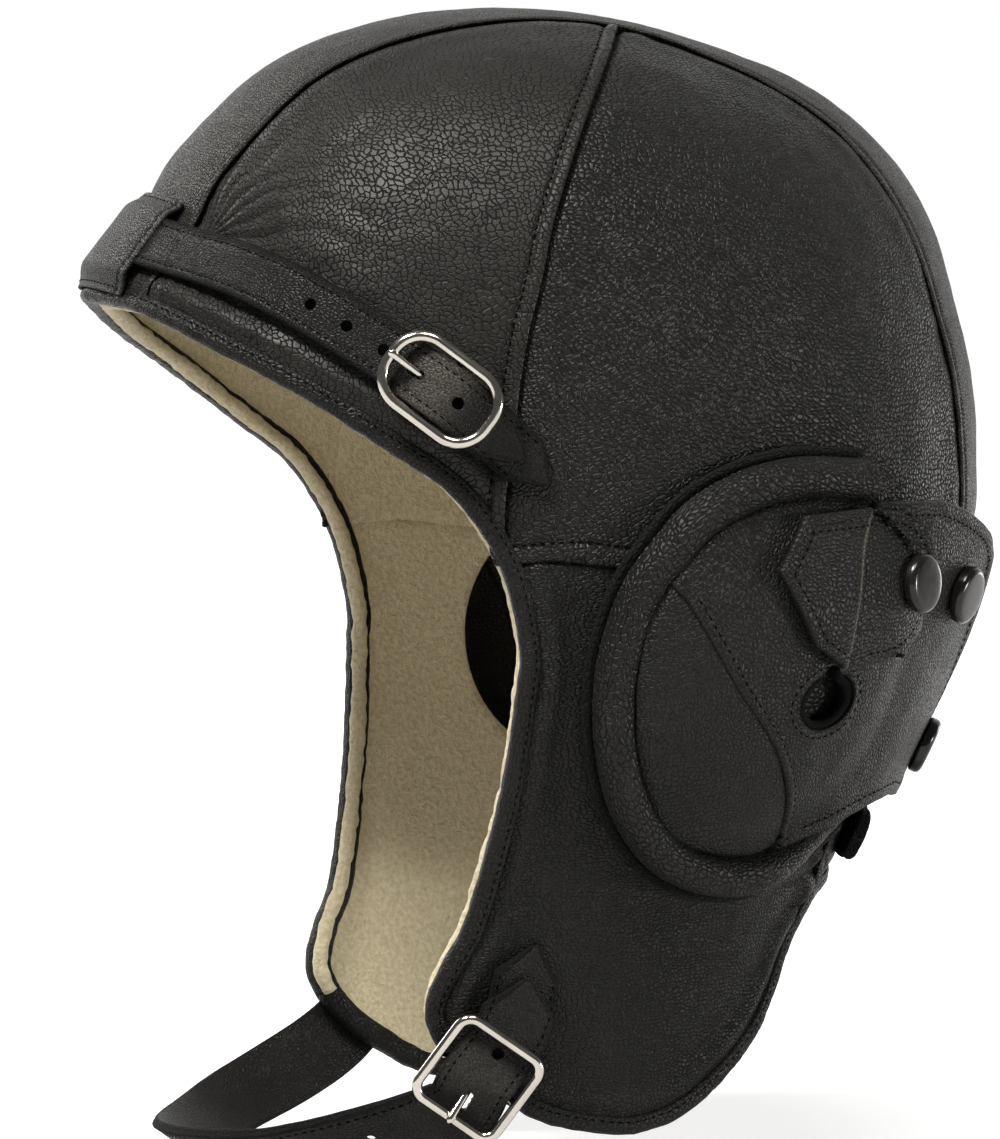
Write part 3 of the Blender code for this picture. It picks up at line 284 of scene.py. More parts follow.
def wander(points, size, seed, depth=3):
    """Smooth noise between -1 and 1, one value per point."""
    flat = points.reshape(-1, 3) / size
    shift = Vector((seed * 7.3, seed * 3.1, seed * 5.7))
    values = [noise.fractal(Vector(p) + shift, 0.9, 2.0, depth, noise_basis="PERLIN_ORIGINAL") for p in flat]
    return np.array(values).reshape(points.shape[:-1])


# %% The seams and edges of the helmet
EDGE = ((0.0, 0.392), (19.7, 0.376), (36.4, 0.302), (50.6, 0.206), (61.7, 0.098),
        (69.7, 0.003), (75.1, -0.103), (77.3, -0.227), (76.9, -0.300), (74.7, -0.465),
        (69.7, -0.655), (65.6, -0.732), (62.9, -0.797), (64.2, -0.850), (68.5, -0.900),
        (74.5, -0.942), (82.4, -0.981), (95.3, -1.0), (104.8, -0.993), (113.0, -0.973),
        (121.9, -0.934), (129.5, -0.891), (135.5, -0.845), (139.8, -0.785), (143.0, -0.715),
        (150.0, -0.662), (163.0, -0.640), (180.0, -0.635))
TEMPLE, CHIN = 6, 13
edge = form_curve(EDGE)
rim = moved_in(edge, 1.6 * MM)


def band_half_width(turn):
    """Half width of the crown band, narrow on top and wide behind."""
    turn = np.asarray(turn, float)
    front = 26.5 + (24.0 - 26.5) * ease((turn - 26.0) / 66.0)
    back = 24.0 + (42.0 - 24.0) * ease((turn - 92.0) / 58.0)
    nape = 42.0 + (38.0 - 42.0) * ease((turn - 150.0) / 76.0)
    return np.where(turn < 92.0, front, np.where(turn < 150.0, back, nape)) * MM


def band_edge(start, end, out=0.0):
    """Points along the side of the crown band, from one turn to another."""
    turns = np.linspace(start, end, 60)
    return crest(band_half_width(turns) + out, turns)


def nearest(curve, goal):
    """Number of the curve's point that is nearest to a place."""
    return int(np.argmin(np.linalg.norm(curve - goal, axis=1)))


brow_at = nearest(rim, crest(band_half_width(24.6), 24.6))
nape_at = nearest(rim, crest(band_half_width(228.0), 228.0))
temple_at, chin_at = TEMPLE * STEPS, CHIN * STEPS
SIDE_SEAM = ((94.9, 0.877), (88.4, 0.776), (84.2, 0.655), (81.6, 0.543), (80.2, 0.442),
             (78.6, 0.341), (77.6, 0.242), (76.6, 0.10), (75.6, -0.02))
LOWER_SEAM = ((84.2, -0.092), (92.0, -0.104), (115.0, -0.130), (135.0, -0.150))
temple = rim[temple_at]
seam_top = crest(band_half_width(98.0), 98.0)
seam_back = crest(band_half_width(192.0), 192.0)
side_seam = smooth_curve(np.concatenate([[seam_top], spot(*np.array(SIDE_SEAM).T), [temple]]))
lower_seam = smooth_curve(np.concatenate([[temple], spot(*np.array(LOWER_SEAM).T), [seam_back]]))
band_side = np.concatenate([[rim[brow_at]], band_edge(26.0, 226.0), [rim[nape_at]]])
print("edge", round(lengths(edge)[-1] / MM), "mm, side seam", round(lengths(side_seam)[-1] / MM), "mm")

# %% [markdown]
# ## Making meshes
# A leather panel is a grid of points with a back face a wall's thickness behind it. One
# helper makes such a grid, one sweeps a cross-section along a curve, and one makes the
# right-hand twin of a left piece, because both sides of the helmet are cut alike.

# %% Mesh helpers
def grid_normals(grid):
    """Normals of a grid of points, turned outwards."""
    normal = np.cross(np.gradient(grid, axis=1), np.gradient(grid, axis=0))
    size = np.linalg.norm(normal, axis=-1, keepdims=True)
    out = outward(grid)
    turn = 1.0 if np.sum(normal * out) > 0.0 else -1.0
    return np.where(size > 1e-12, normal * turn / np.maximum(size, 1e-15), out)


@contextmanager
def edited(mesh):
    """A mesh opened for editing, and written back at the end."""
    shape = bmesh.new()
    shape.from_mesh(mesh)
    yield shape
    shape.to_mesh(mesh)
    shape.free()


def add_object(name, data):
    """A new object in the scene."""
    thing = bpy.data.objects.new(name, data)
    scene.collection.objects.link(thing)
    return thing


def remove(*things):
    for thing in things:
        bpy.data.objects.remove(thing)


# %% Pieces from grids and rings
def new_piece(name, vertices, faces, material, marks=None, doubles=0.02 * MM, flat=None):
    """A mesh object with its doubles merged and its faces turned outwards. Marks are
    named values, one for each point, that the materials read. Flat is the place of each
    point on the uncut skin, and becomes a UV map for the grain."""
    mesh = bpy.data.meshes.new(name)
    mesh.from_pydata([tuple(v) for v in vertices], [], faces)
    if flat is not None:
        corners = np.concatenate([np.asarray(face) for face in faces])
        mesh.uv_layers.new(name="flat").data.foreach_set("uv", np.asarray(flat, dtype=np.float32)[corners].ravel())
    for key, values in (marks or {}).items():
        values = np.asarray(values, dtype=np.float32).ravel()
        mesh.attributes.new(key, "FLOAT", "POINT").data.foreach_set("value", values)
    with edited(mesh) as shape:
        bmesh.ops.remove_doubles(shape, verts=shape.verts, dist=doubles)
        bmesh.ops.dissolve_degenerate(shape, edges=shape.edges, dist=doubles / 2)
        bmesh.ops.recalc_face_normals(shape, faces=shape.faces)
    mesh.shade_smooth()
    mesh.materials.append(material)
    return add_object(name, mesh)


def sheet_piece(name, grid, thickness, material, round_edge=0.35, raw_rim=0.0, rubbed=None, flat=None):
    """A closed sheet: the grid in front, the same grid behind it, and a rounded rim."""
    rows, columns = grid.shape[:2]
    flat = (chart(grid) if flat is None else flat).reshape(-1, 2)
    normal = grid_normals(grid)
    thickness = np.broadcast_to(np.asarray(thickness, float), (rows, columns))[..., None]
    back = grid - normal * thickness
    count = rows * columns
    index = np.arange(count).reshape(rows, columns)
    a = index[:-1, :-1].ravel()
    front = np.stack([a, a + 1, a + 1 + columns, a + columns], axis=1)
    loop = np.concatenate([index[0], index[1:, -1], index[-1, -2::-1], index[-2:0:-1, 0]]).tolist()
    middle = (grid - normal * thickness / 2).reshape(-1, 3)[loop]
    side = tangents(np.concatenate([middle[-1:], middle, middle[:1]]))[1:-1]
    out = np.cross(side, normal.reshape(-1, 3)[loop])
    out = out * np.sign(np.sum(out * (middle - middle.mean(axis=0))))
    middle = middle + out * (thickness.reshape(-1, 1)[loop] * round_edge)
    faces = front.tolist() + (front[:, ::-1] + count).tolist()
    for k, m in zip(range(len(loop)), [*range(1, len(loop)), 0]):
        faces.append((loop[k], 2 * count + k, 2 * count + m, loop[m]))
        faces.append((2 * count + k, loop[k] + count, loop[m] + count, 2 * count + m))
    marks = {"raw": np.concatenate([np.zeros(2 * count), np.full(len(loop), raw_rim)])} if raw_rim else {}
    if rubbed is not None:
        marks["rubbed"] = np.concatenate([rubbed.ravel(), np.zeros(count + len(loop))])
    return new_piece(name, np.concatenate([grid.reshape(-1, 3), back.reshape(-1, 3), middle]), faces, material, marks,
                     flat=np.concatenate([flat, flat, flat[loop]]))


def sweep_piece(name, rings, material, closed=False, marks=None):
    """A tube through rings of points, capped unless it closes. The length of its name
    shifts the grain a little, so that no two tubes look alike."""
    rings = np.asarray(rings)
    count, sides = rings.shape[:2]
    faces = []
    for j in range(count if closed else count - 1):
        k = (j + 1) % count
        for i in range(sides):
            n = (i + 1) % sides
            faces.append((j * sides + i, j * sides + n, k * sides + n, k * sides + i))
    if not closed:
        faces.append(tuple(range(sides)))
        faces.append(tuple((count - 1) * sides + i for i in range(sides)))
    along = lengths(rings.mean(axis=1)) + 0.013 * len(name)
    girth = np.cumsum(np.linalg.norm(np.diff(rings, axis=1), axis=-1).mean(axis=0))
    flat = np.stack(np.broadcast_arrays(along[:, None], np.concatenate([[0.0], girth])[None]), axis=-1).reshape(-1, 2)
    return new_piece(name, rings.reshape(-1, 3), faces, material, marks, flat=flat)


# %% Moving, cutting and mirroring
def placed(matrix, points):
    """An array of points moved by a matrix."""
    points = np.asarray(points)
    return np.array([tuple(matrix @ Vector(p)) for p in points.reshape(-1, 3)]).reshape(points.shape)


def circle(sides):
    """Angles of the corners of a round section."""
    return np.linspace(0.0, 2.0 * np.pi, sides + 1)[:-1]


def bake(piece):
    """Turn an object's live modifiers into plain mesh."""
    mesh = bpy.data.meshes.new_from_object(piece.evaluated_get(bpy.context.evaluated_depsgraph_get()))
    piece.modifiers.clear()
    piece.data = mesh
    return piece


def cut_away(piece, *cutters):
    """Cut holes through a piece."""
    for cutter in cutters:
        modifier = piece.modifiers.new("cut", "BOOLEAN")
        modifier.operation, modifier.solver, modifier.object = "DIFFERENCE", "EXACT", cutter
        bpy.context.view_layer.update()
        bake(piece)


def swapped(word):
    """A left name made a right one; other names stay."""
    return word.removesuffix("_l") + "_r" if word.endswith("_l") else word


TWIN_SHIFT = 0.37  # how far the twin's grain moves on the flat skin, so that it isn't a mirror image


def twin(piece):
    """The mirror image of a left piece, for the right-hand side."""
    mesh = piece.data.copy()
    with edited(mesh) as shape:
        for vertex in shape.verts:
            vertex.co.x = -vertex.co.x
        bmesh.ops.reverse_faces(shape, faces=shape.faces)
        for layer in shape.loops.layers.uv.values():
            for face in shape.faces:
                for corner in face.loops:
                    corner[layer].uv.x += TWIN_SHIFT
    return add_object(swapped(piece.name), mesh)

# %% [markdown]
# ## Leather
# The helmet is sheep or goat leather: a net of fine cells with wrinkles between them,
# open where the skin was pulled over the crown. One node group makes that grain for
# every leather, and each material sets how large, how round and how cracked the cells
# are; the cracks and folds get painted shade in their colour. The grain is drawn on the
# flat skin, by a UV map that every piece carries. A second group draws the creases that
# run out from a place where the skin is pulled, as a shallow dent and painted shade, and
# a third tells raw edges and rubbed places from attributes of the mesh: the raw colour is
# also painted shade on the ear ring's flange, and the pale rubbed speckles are also
# painted glints on the brow strap.

# %% Signals: arithmetic that places nodes
class Signal:
    """An output of a node. Arithmetic on it places Math nodes; a name gives another output."""

    def __init__(self, socket):
        self.socket, self.tree = socket, socket.id_data

    def __getitem__(self, name):
        return Signal(self.socket.node.outputs[name])

    def __add__(self, other):
        return maths("ADD", self, other)

    def __sub__(self, other):
        return maths("SUBTRACT", self, other)

    def __rsub__(self, other):
        return maths("SUBTRACT", other, self)

    def __mul__(self, other):
        return maths("MULTIPLY", self, other)

    def __truediv__(self, other):
        return maths("DIVIDE", self, other)

    def __rtruediv__(self, other):
        return maths("DIVIDE", other, self)

    def __abs__(self):
        return maths("ABSOLUTE", self)

    def clamped(self):
        self.socket.node.use_clamp = True
        return self


def feed(value, socket):
    """Link a signal, or type a constant into the socket."""
    if isinstance(value, Signal):
        value.tree.links.new(value.socket, socket)
    else:
        socket.default_value = value


def place(tree, kind, out=0, settings=(), **inputs):
    """A new node, as the signal of one output. In the names of inputs an underscore
    stands for a space, and i0, i1 and so on for inputs by their number."""
    made = tree.nodes.new(kind)
    for key, value in dict(settings).items():
        setattr(made, key, value)
    for key, value in inputs.items():
        feed(value, made.inputs[int(key[1:]) if key[1:].isdigit() else key.replace("_", " ")])
    return Signal(made.outputs[out])


def maths(operation, first, second=0.0):
    """A Math node."""
    tree = next(value.tree for value in (first, second) if isinstance(value, Signal))
    return place(tree, "ShaderNodeMath", 0, {"operation": operation}, i0=first, i1=second)


def vectors(operation, first, second, out=0):
    """A Vector Math node."""
    return place(first.tree, "ShaderNodeVectorMath", out, {"operation": operation}, i0=first, i1=second)


# %% Shorthand for common nodes
def remap(value, low, high, to_low=0.0, to_high=1.0):
    """A value moved from one range to another, and held inside it."""
    return place(value.tree, "ShaderNodeMapRange", Value=value, From_Min=low, From_Max=high,
                 To_Min=to_low, To_Max=to_high)


def mix(share, first, second):
    """A blend of two colours."""
    return place(share.tree, "ShaderNodeMix", 2, {"data_type": "RGBA"}, Factor=share, i6=first, i7=second)


def flat_noise(at, scale, detail=2.0, out="Fac"):
    """Noise over the flat skin."""
    return place(at.tree, "ShaderNodeTexNoise", out, {"noise_dimensions": "2D"},
                 Vector=at, Scale=scale, Detail=detail)


def pushed(at, scale, detail, amount):
    """Shift a place by a noise colour, up to half the amount either way."""
    centred = vectors("SUBTRACT", flat_noise(at, scale, detail, "Color"), (0.5, 0.5, 0.5))
    scaled = place(at.tree, "ShaderNodeVectorMath", 0, {"operation": "SCALE"}, i0=centred, Scale=amount)
    return vectors("ADD", at, scaled)


def new_group(name, kind, inputs, outputs):
    """A node group, its inputs as signals and the sockets of its output node. A number
    is a socket's default value, and a word is its kind."""
    group = bpy.data.node_groups.new(name, kind)
    for way, sockets in (("INPUT", inputs), ("OUTPUT", outputs)):
        for label, value in sockets.items():
            sort = value if isinstance(value, str) else type(value).__name__.capitalize()
            made = group.interface.new_socket(name=label, in_out=way, socket_type="NodeSocket" + sort)
            if not isinstance(value, str):
                made.default_value = value
    start = group.nodes.new("NodeGroupInput").outputs
    return group, {label: Signal(start[label]) for label in inputs}, group.nodes.new("NodeGroupOutput").inputs


# %% Node groups for grain, creases and wear
def make_grain_group():
    """Cells with lines of painted shade between them: a height, the painted shade of the cracks and folds, and soft
    blotches.
    """
    group, start, end = new_group(
        "leather_grain", "ShaderNodeTree",
        {"Vector": "Vector", "Cell Scale": 700.0, "Round": 0.3, "Line": 0.1, "Fold Scale": 60.0, "Fold": 0.5},
        {"Height": "Float", "Crack": "Float", "Blotch": "Float"})
    skin, scale = start["Vector"], start["Cell Scale"]
    at = pushed(skin, 70.0, 2.0, 0.0045)
    at = pushed(at, scale * 0.9, 1.0, 0.75 / scale)
    cells = place(group, "ShaderNodeTexVoronoi", "Distance",
                  {"feature": "DISTANCE_TO_EDGE", "voronoi_dimensions": "2D"},
                  Vector=at, Scale=scale, Randomness=0.88)
    blotch = flat_noise(skin, 26.0, 4.0)
    patchy = remap(flat_noise(at, scale * 0.30, 1.0), 0.25, 0.50, 0.60, 1.0) * remap(blotch, 0.34, 0.50, 0.75, 1.0)
    rising = remap(cells, 0.0, start["Round"])
    line = (1.5 - remap(cells, 0.0, start["Line"], 0.0, 1.5)).clamped() * patchy
    fold = 1.0 - remap(abs(flat_noise(at, start["Fold Scale"]) - 0.5), 0.0, 0.022)
    fold = fold * start["Fold"] * remap(blotch, 0.42, 0.58)
    dome = rising * (2.0 - rising) * 0.8 + flat_noise(skin, scale * 2.1) * 0.35
    feed(dome - line * 0.5 - fold, end["Height"])
    # Painted shade: the cracks and folds, which the leathers darken in colour.
    feed((line + fold).clamped(), end["Crack"])
    feed(blotch, end["Blotch"])
    return group


def make_pull_group():
    """Creases that fan out from one place of the chart and fade with the distance: a mask that the leathers paint as
    shade and press in as a shallow dent.
    """
    group, start, end = new_group(
        "pull_creases", "ShaderNodeTree",
        {"Vector": "Vector", "Centre": "Vector", "Start": 0.0, "Reach": 0.05, "Count": 5.0}, {"Crease": "Float"})
    bent = pushed(start["Vector"], 42.0, 1.0, 0.010)
    bent = pushed(bent, 420.0, 2.0, 0.0022)
    x = place(group, "ShaderNodeSeparateXYZ", Vector=vectors("SUBTRACT", bent, start["Centre"]))
    y = x["Y"]
    far = maths("SQRT", x * x + y * y)
    turns = maths("ARCTAN2", y, x) * start["Count"]
    off = abs(maths("FRACT", turns) - 0.5) * far / start["Count"]
    crease = (1.4 - remap(off, 0.0, 0.00034, 0.0, 1.4)).clamped()
    fan = place(group, "ShaderNodeCombineXYZ", i0=maths("FLOOR", turns) * 3.7, i1=far * 45.0)
    begin = remap(far, start["Start"], start["Start"] + 0.004)
    fade = remap(1.0 - far / start["Reach"], 0.0, 0.35)
    feed(crease * (begin * fade * remap(flat_noise(fan, 1.0, 1.0), 0.46, 0.58)), end["Crease"])
    return group


def make_wear_group():
    """Cut edges and worn leather, from two attributes of the mesh: the raw mark, also painted shade on the ear ring's
    flange, and the rubbed mark, also painted glints on the brow strap's hump.
    """
    group, start, end = new_group(
        "wear", "ShaderNodeTree", {"Color": "Color", "Roughness": 0.4, "Raw Color": "Color", "Rubbed Color": "Color"},
        {"Color": "Color", "Roughness": "Float"})
    raw, rubbed = (place(group, "ShaderNodeAttribute", "Fac", {"attribute_name": key}) for key in ("raw", "rubbed"))
    speck = place(group, "ShaderNodeTexNoise", "Fac", Vector=place(group, "ShaderNodeTexCoord", "Object"),
                  Scale=2300.0, Detail=3.0)
    # Pale speckles on rubbed places: real wear, and painted glints on the brow strap's hump.
    worn = (rubbed * remap(speck, 0.30, 0.70)).clamped()
    # Raw Color darkens cut edges, and is painted shade where it darkens the ear ring's flange.
    feed(mix(worn, mix(raw, start["Color"], start["Raw Color"]), start["Rubbed Color"]), end["Color"])
    feed((start["Roughness"] + raw * 0.4).clamped() - worn * 0.10, end["Roughness"])
    return group


leather_grain, pull_creases, wear_group = make_grain_group(), make_pull_group(), make_wear_group()
print("groups", [(group.name, len(group.nodes)) for group in bpy.data.node_groups])

# %% Leather finishes
def new_material(name):
    """A material, its tree and the inputs of its Principled shader."""
    material = bpy.data.materials.new(name)
    material.use_nodes = True
    return material, material.node_tree, material.node_tree.nodes["Principled BSDF"].inputs


def leather(name, crack_shade_colour, skin, cell, round_off, line, fold_scale, fold, depth, rough, stretch=1.0, pull=None):
    """A leather from the grain group: painted shade in the cracks, folds and pull creases, lighter on the cells."""
    material, tree, shader = new_material(name)
    flat = place(tree, "ShaderNodeUVMap", 0, {"uv_map": "flat"})
    at = place(tree, "ShaderNodeMapping", Vector=flat, Scale=(1.0, stretch, 1.0))
    height = place(tree, "ShaderNodeGroup", "Height", {"node_tree": leather_grain}, Vector=at, Cell_Scale=cell,
                   Round=round_off, Line=line, Fold_Scale=fold_scale, Fold=fold)
    crack_shade, blotch = height["Crack"], height["Blotch"]
    if pull:
        centre, start, reach, count = pull
        fan = place(tree, "ShaderNodeGroup", 0, {"node_tree": pull_creases}, Vector=flat, Centre=(*centre, 0.0),
                    Start=start, Reach=reach, Count=count)
        # The pull creases add painted shade to the crack mask and a shallow dent to the height.
        crack_shade, height = (crack_shade + fan).clamped(), height - fan * 0.12
    colour = mix(remap(blotch, 0.3, 0.7), (*(value * 0.72 for value in skin), 1.0), (*skin, 1.0))
    # The crack colour mixed in here is painted shade in the cracks, folds and pull creases.
    wear = place(tree, "ShaderNodeGroup", 0, {"node_tree": wear_group}, Color=mix(crack_shade, colour, (*crack_shade_colour, 1.0)),
                 Roughness=remap(blotch, 0.3, 0.7, rough + 0.05, rough - 0.05) + crack_shade * 0.30,
                 Raw_Color=(0.0014, 0.0014, 0.0014, 1.0), Rubbed_Color=(0.20, 0.18, 0.155, 1.0))
    feed(wear, shader["Base Color"])
    feed(wear["Roughness"], shader["Roughness"])
    feed(place(tree, "ShaderNodeBump", Strength=1.0, Distance=depth, Height=height), shader["Normal"])
    feed(0.25, shader["Specular IOR Level"])
    return material


brow_chart, nape_chart = chart(crest(24.0 * MM, 44.0)), chart(spot(157.0, -0.53))
BLACK, DARK, WARM_BLACK = (0.0010,) * 3, (0.0012,) * 3, (0.0125, 0.0122, 0.0110)
# crack shade colour (painted shade in cracks, folds and creases), skin, cell scale, round, line, fold scale, fold, bump
# depth, roughness, stretch, pull
# The band's lighter skin is partly a painted sheen, and the darker cheek skin of the neck pieces is partly painted
# shade of the light from above.
LEATHERS = {
    "band": ((0.0060, 0.0057, 0.0051), (0.034, 0.0325, 0.0292), 1250, 0.40, 0.18, 90, 0.15, 0.00022, 0.40),
    "front": (BLACK, (0.0205, 0.0197, 0.0176), 760, 0.22, 0.13, 40, 0.55, 0.00014, 0.42, 1.0,
              ((brow_chart[0] - 0.034, brow_chart[1] + 0.024), 0.036, 0.090, 5.0)),
    "side": ((0.0018, 0.0018, 0.0016), (0.0155, 0.0151, 0.0136), 820, 0.42, 0.15, 60, 0.10, 0.00030, 0.38, 1.15),
    "cheek": ((0.0012, 0.0012, 0.0011), (0.0090, 0.0088, 0.0080), 900, 0.40, 0.14, 60, 0.15, 0.00022, 0.42, 1.4,
              (nape_chart, 0.002, 0.040, 5.0)),
    "strap": (DARK, (0.0120, 0.0117, 0.0106), 1000, 0.40, 0.14, 90, 0.10, 0.00016, 0.40, 1.5),
    "edge": (DARK, (0.0100, 0.0098, 0.0090), 900, 0.40, 0.13, 120, 0.30, 0.00016, 0.41),
    "ring": (BLACK, WARM_BLACK, 620, 0.40, 0.14, 80, 0.15, 0.00028, 0.40, 1.5),
    "cup": ((0.0028, 0.0028, 0.0025), WARM_BLACK, 980, 0.44, 0.14, 60, 0.10, 0.00020, 0.40)}
(band_leather, front_leather, side_leather, cheek_leather, strap_leather, edge_leather, ring_leather,
 cup_leather) = (leather(name + "_leather", *values) for name, values in LEATHERS.items())
print("leathers", list(LEATHERS))

# %% [markdown]
# ## Metal, enamel, thread and fleece
# The buckles are nickel plated, the snap caps wear glossy black enamel, the thread is
# black and waxed, and the lining is a cream fleece. Each is a Principled shader with a
# little uneven roughness, because nothing real is equally smooth all over.

# %% Other finishes
def plain_finish(name, colour, shade, rough, scale, depth=0.0, spread=0.08, **extra):
    """A finish whose colour and roughness wander a little, with an optional bump."""
    material, tree, shader = new_material(name)
    value = place(tree, "ShaderNodeTexNoise", "Fac", Vector=place(tree, "ShaderNodeTexCoord", "Object"),
                  Scale=scale, Detail=4.0, Roughness=0.6)
    feed(mix(remap(value, 0.35, 0.65), (*shade, 1.0), (*colour, 1.0)), shader["Base Color"])
    feed(remap(value, 0.3, 0.7, rough, rough + spread), shader["Roughness"])
    if depth:
        feed(place(tree, "ShaderNodeBump", Strength=1.0, Distance=depth, Height=value), shader["Normal"])
    for key, amount in extra.items():
        feed(amount, shader[key.replace("_", " ")])
    return material


nickel = plain_finish("nickel", (0.80, 0.76, 0.70), (0.70, 0.66, 0.60), 0.10, 120.0, Metallic=1.0)
snap_black = plain_finish("snap_black", (0.011, 0.0105, 0.010), (0.008, 0.0078, 0.0075), 0.16, 400.0)
snap_steel = plain_finish("snap_steel", (0.42, 0.41, 0.39), (0.30, 0.29, 0.28), 0.24, 500.0, Metallic=1.0)
thread = plain_finish("black_thread", DARK, (0.0008,) * 3, 0.80, 2400.0, 0.00004, Specular_IOR_Level=0.05)
felt = plain_finish("cut_felt", (0.0050,) * 3, (0.0015,) * 3, 0.95, 1900.0, 0.00035, Specular_IOR_Level=0.15)
fleece = plain_finish("cream_fleece", (0.80, 0.71, 0.50), (0.62, 0.53, 0.34), 0.90, 900.0, 0.0009, 0.04,
                      Sheen_Weight=0.4)
print("finishes", len(bpy.data.materials))

# %% [markdown]
# ## Stitches
# Every seam and edge is sewn with black thread, one stitch every two millimetres. A
# stitch is a small grain of thread that lies along its line. Geometry Nodes lay them:
# they measure out the line, turn each grain along it and stand it on the leather. The
# lines are collected while the pieces are made, and sewn at the end, one mesh a body.

# %% The stitch tree and its lines
STITCH = {"Spacing": 2.0 * MM, "Stitch Length": 1.35 * MM, "Thread Radius": 0.24 * MM, "Seed": 4}
LEAN = 0.09  # radians that a stitch may lie askew


def make_stitch_tree():
    """The tree that lays one grain of thread after another along each line."""
    tree, start, end = new_group("stitches", "GeometryNodeTree", {"Geometry": "Geometry", **STITCH},
                                 {"Geometry": "Geometry"})
    line = place(tree, "GeometryNodeMeshToCurve", Mesh=start["Geometry"])
    marks = place(tree, "GeometryNodeResampleCurve", 0, {"mode": "LENGTH"}, Curve=line, Length=start["Spacing"])
    thick = start["Thread Radius"]
    size = place(tree, "ShaderNodeCombineXYZ", i0=start["Stitch Length"] * 0.5, i1=thick, i2=thick)
    grain = place(tree, "GeometryNodeMeshUVSphere", Segments=7, Rings=4, Radius=1.0)
    grain = place(tree, "GeometryNodeTransform", Geometry=grain, Scale=size)
    grain = place(tree, "GeometryNodeSetShadeSmooth", Geometry=grain)
    along = place(tree, "FunctionNodeAlignRotationToVector", 0, {"axis": "X"},
                  Vector=place(tree, "GeometryNodeInputTangent"))
    up = place(tree, "GeometryNodeInputNamedAttribute", 0, {"data_type": "FLOAT_VECTOR"}, Name="up")
    turn = place(tree, "FunctionNodeAlignRotationToVector", 0, {"axis": "Z", "pivot_axis": "X"},
                 Rotation=along, Vector=up)
    swing = place(tree, "FunctionNodeRandomValue", 1, i2=-LEAN, i3=LEAN, Seed=start["Seed"])
    lean = place(tree, "FunctionNodeEulerToRotation", Euler=place(tree, "ShaderNodeCombineXYZ", i2=swing))
    turn = place(tree, "FunctionNodeRotateRotation", 0, {"rotation_space": "LOCAL"}, Rotation=turn, Rotate_By=lean)
    sewn = place(tree, "GeometryNodeInstanceOnPoints", Points=marks, Instance=grain, Rotation=turn)
    sewn = place(tree, "GeometryNodeRealizeInstances", Geometry=sewn)
    feed(place(tree, "GeometryNodeSetMaterial", Geometry=sewn, Material=thread), end["Geometry"])
    return tree


stitch_tree = make_stitch_tree()
stitch_lines = {}


# %% Laying a line of stitches on a piece
def skin_tree(piece):
    """The faces of a piece, ready to be hit by rays."""
    return BVHTree.FromPolygons([v.co for v in piece.data.vertices], [p.vertices for p in piece.data.polygons])


def sew(curve, piece, body, sink=0.08 * MM, pitch=0.9 * MM, reach=9.0 * MM):
    """Drop a line of stitches onto a finished piece; it breaks where it misses the piece."""
    curve = resample(np.asarray(curve), max(2, round(lengths(curve)[-1] / pitch)))
    tree, run = skin_tree(piece), []
    hits = [tree.ray_cast(Vector(point + up * reach), Vector(-up), 2.2 * reach)
            for point, up in zip(curve, outward(curve))]
    for hit in hits + [(None,)]:
        if hit[0] is not None:
            run.append((hit[0] - hit[1] * sink, hit[1]))
            continue
        if len(run) > 2:
            stitch_lines.setdefault(body, []).append(run)
        run = []


print("stitch tree", len(stitch_tree.nodes), "nodes")

# %% [markdown]
# ## The sewn shell
# Seven pieces of leather make the cap: a band from the brow over the top to the nape,
# and a front, a side and a cheek piece on each side. Where two pieces meet, the upper
# one is folded under and sewn down over the lower one, so its edge stands up as a round
# lip. Each piece is a fine grid on the head form, lifted point by point: up at a lip,
# down where it goes under its neighbour, and in and out with the wrinkles of the skin.

# %% Lips, laps and wrinkles
LAP = 3.0 * MM


def joined(curve, start, end):
    """A curve with its ends pulled to two given points."""
    share = (lengths(curve) / lengths(curve)[-1])[:, None]
    return curve + (start - curve[0]) * (1.0 - share) + (end - curve[-1]) * share


def panel_points(low, high, left, right, pitch=1.35 * MM, fine=(True, True, True, True)):
    """Points over a panel, close together along the sides that are sewn or bound."""
    wide = max(lengths(low)[-1], lengths(high)[-1])
    tall = max(lengths(left)[-1], lengths(right)[-1])
    return seat(patch(low, high, left, right, stepped(wide, pitch, *fine[2:]), stepped(tall, pitch, *fine[:2])))


def lip(distance, height=0.9 * MM, width=3.0 * MM):
    """A folded edge: a round ridge that rolls down at the very edge, and a shallow
    valley beside it where the stitches pull."""
    ridge = np.sqrt(np.clip(1.0 - ((distance - 0.5 * width) / (0.56 * width))**2, 0.0, 1.0))
    return height * ridge - 0.35 * height * hump(distance - 1.18 * width, 0.22 * width)


def tucked(distance):
    """A margin that runs under the neighbour, and the soft swell beside it."""
    return (-1.25 * MM * ease((LAP + 1.3 * MM - distance) / (1.9 * MM))
            + 0.35 * MM * hump(distance - LAP - 4.5 * MM, 2.6 * MM))


def groove(distance, at, depth=0.28 * MM, width=0.55 * MM):
    """A shallow line pressed in where stitches pull."""
    return -depth * hump(distance - at, width)


def hem_swell(distance):
    """Next to a bound edge the leather dips under the stitches and swells above them."""
    return (-0.25 * MM * hump(distance - 3.2 * MM, 0.9 * MM) + 1.3 * MM * hump(distance - 7.4 * MM, 2.5 * MM))


def skin_waves(points, seed, amount=0.28 * MM):
    """Slow waves and small wrinkles of a hand-sewn skin."""
    return amount * (1.1 * wander(points, 26.0 * MM, seed, 2) + 0.45 * wander(points, 6.0 * MM, seed + 9, 2))


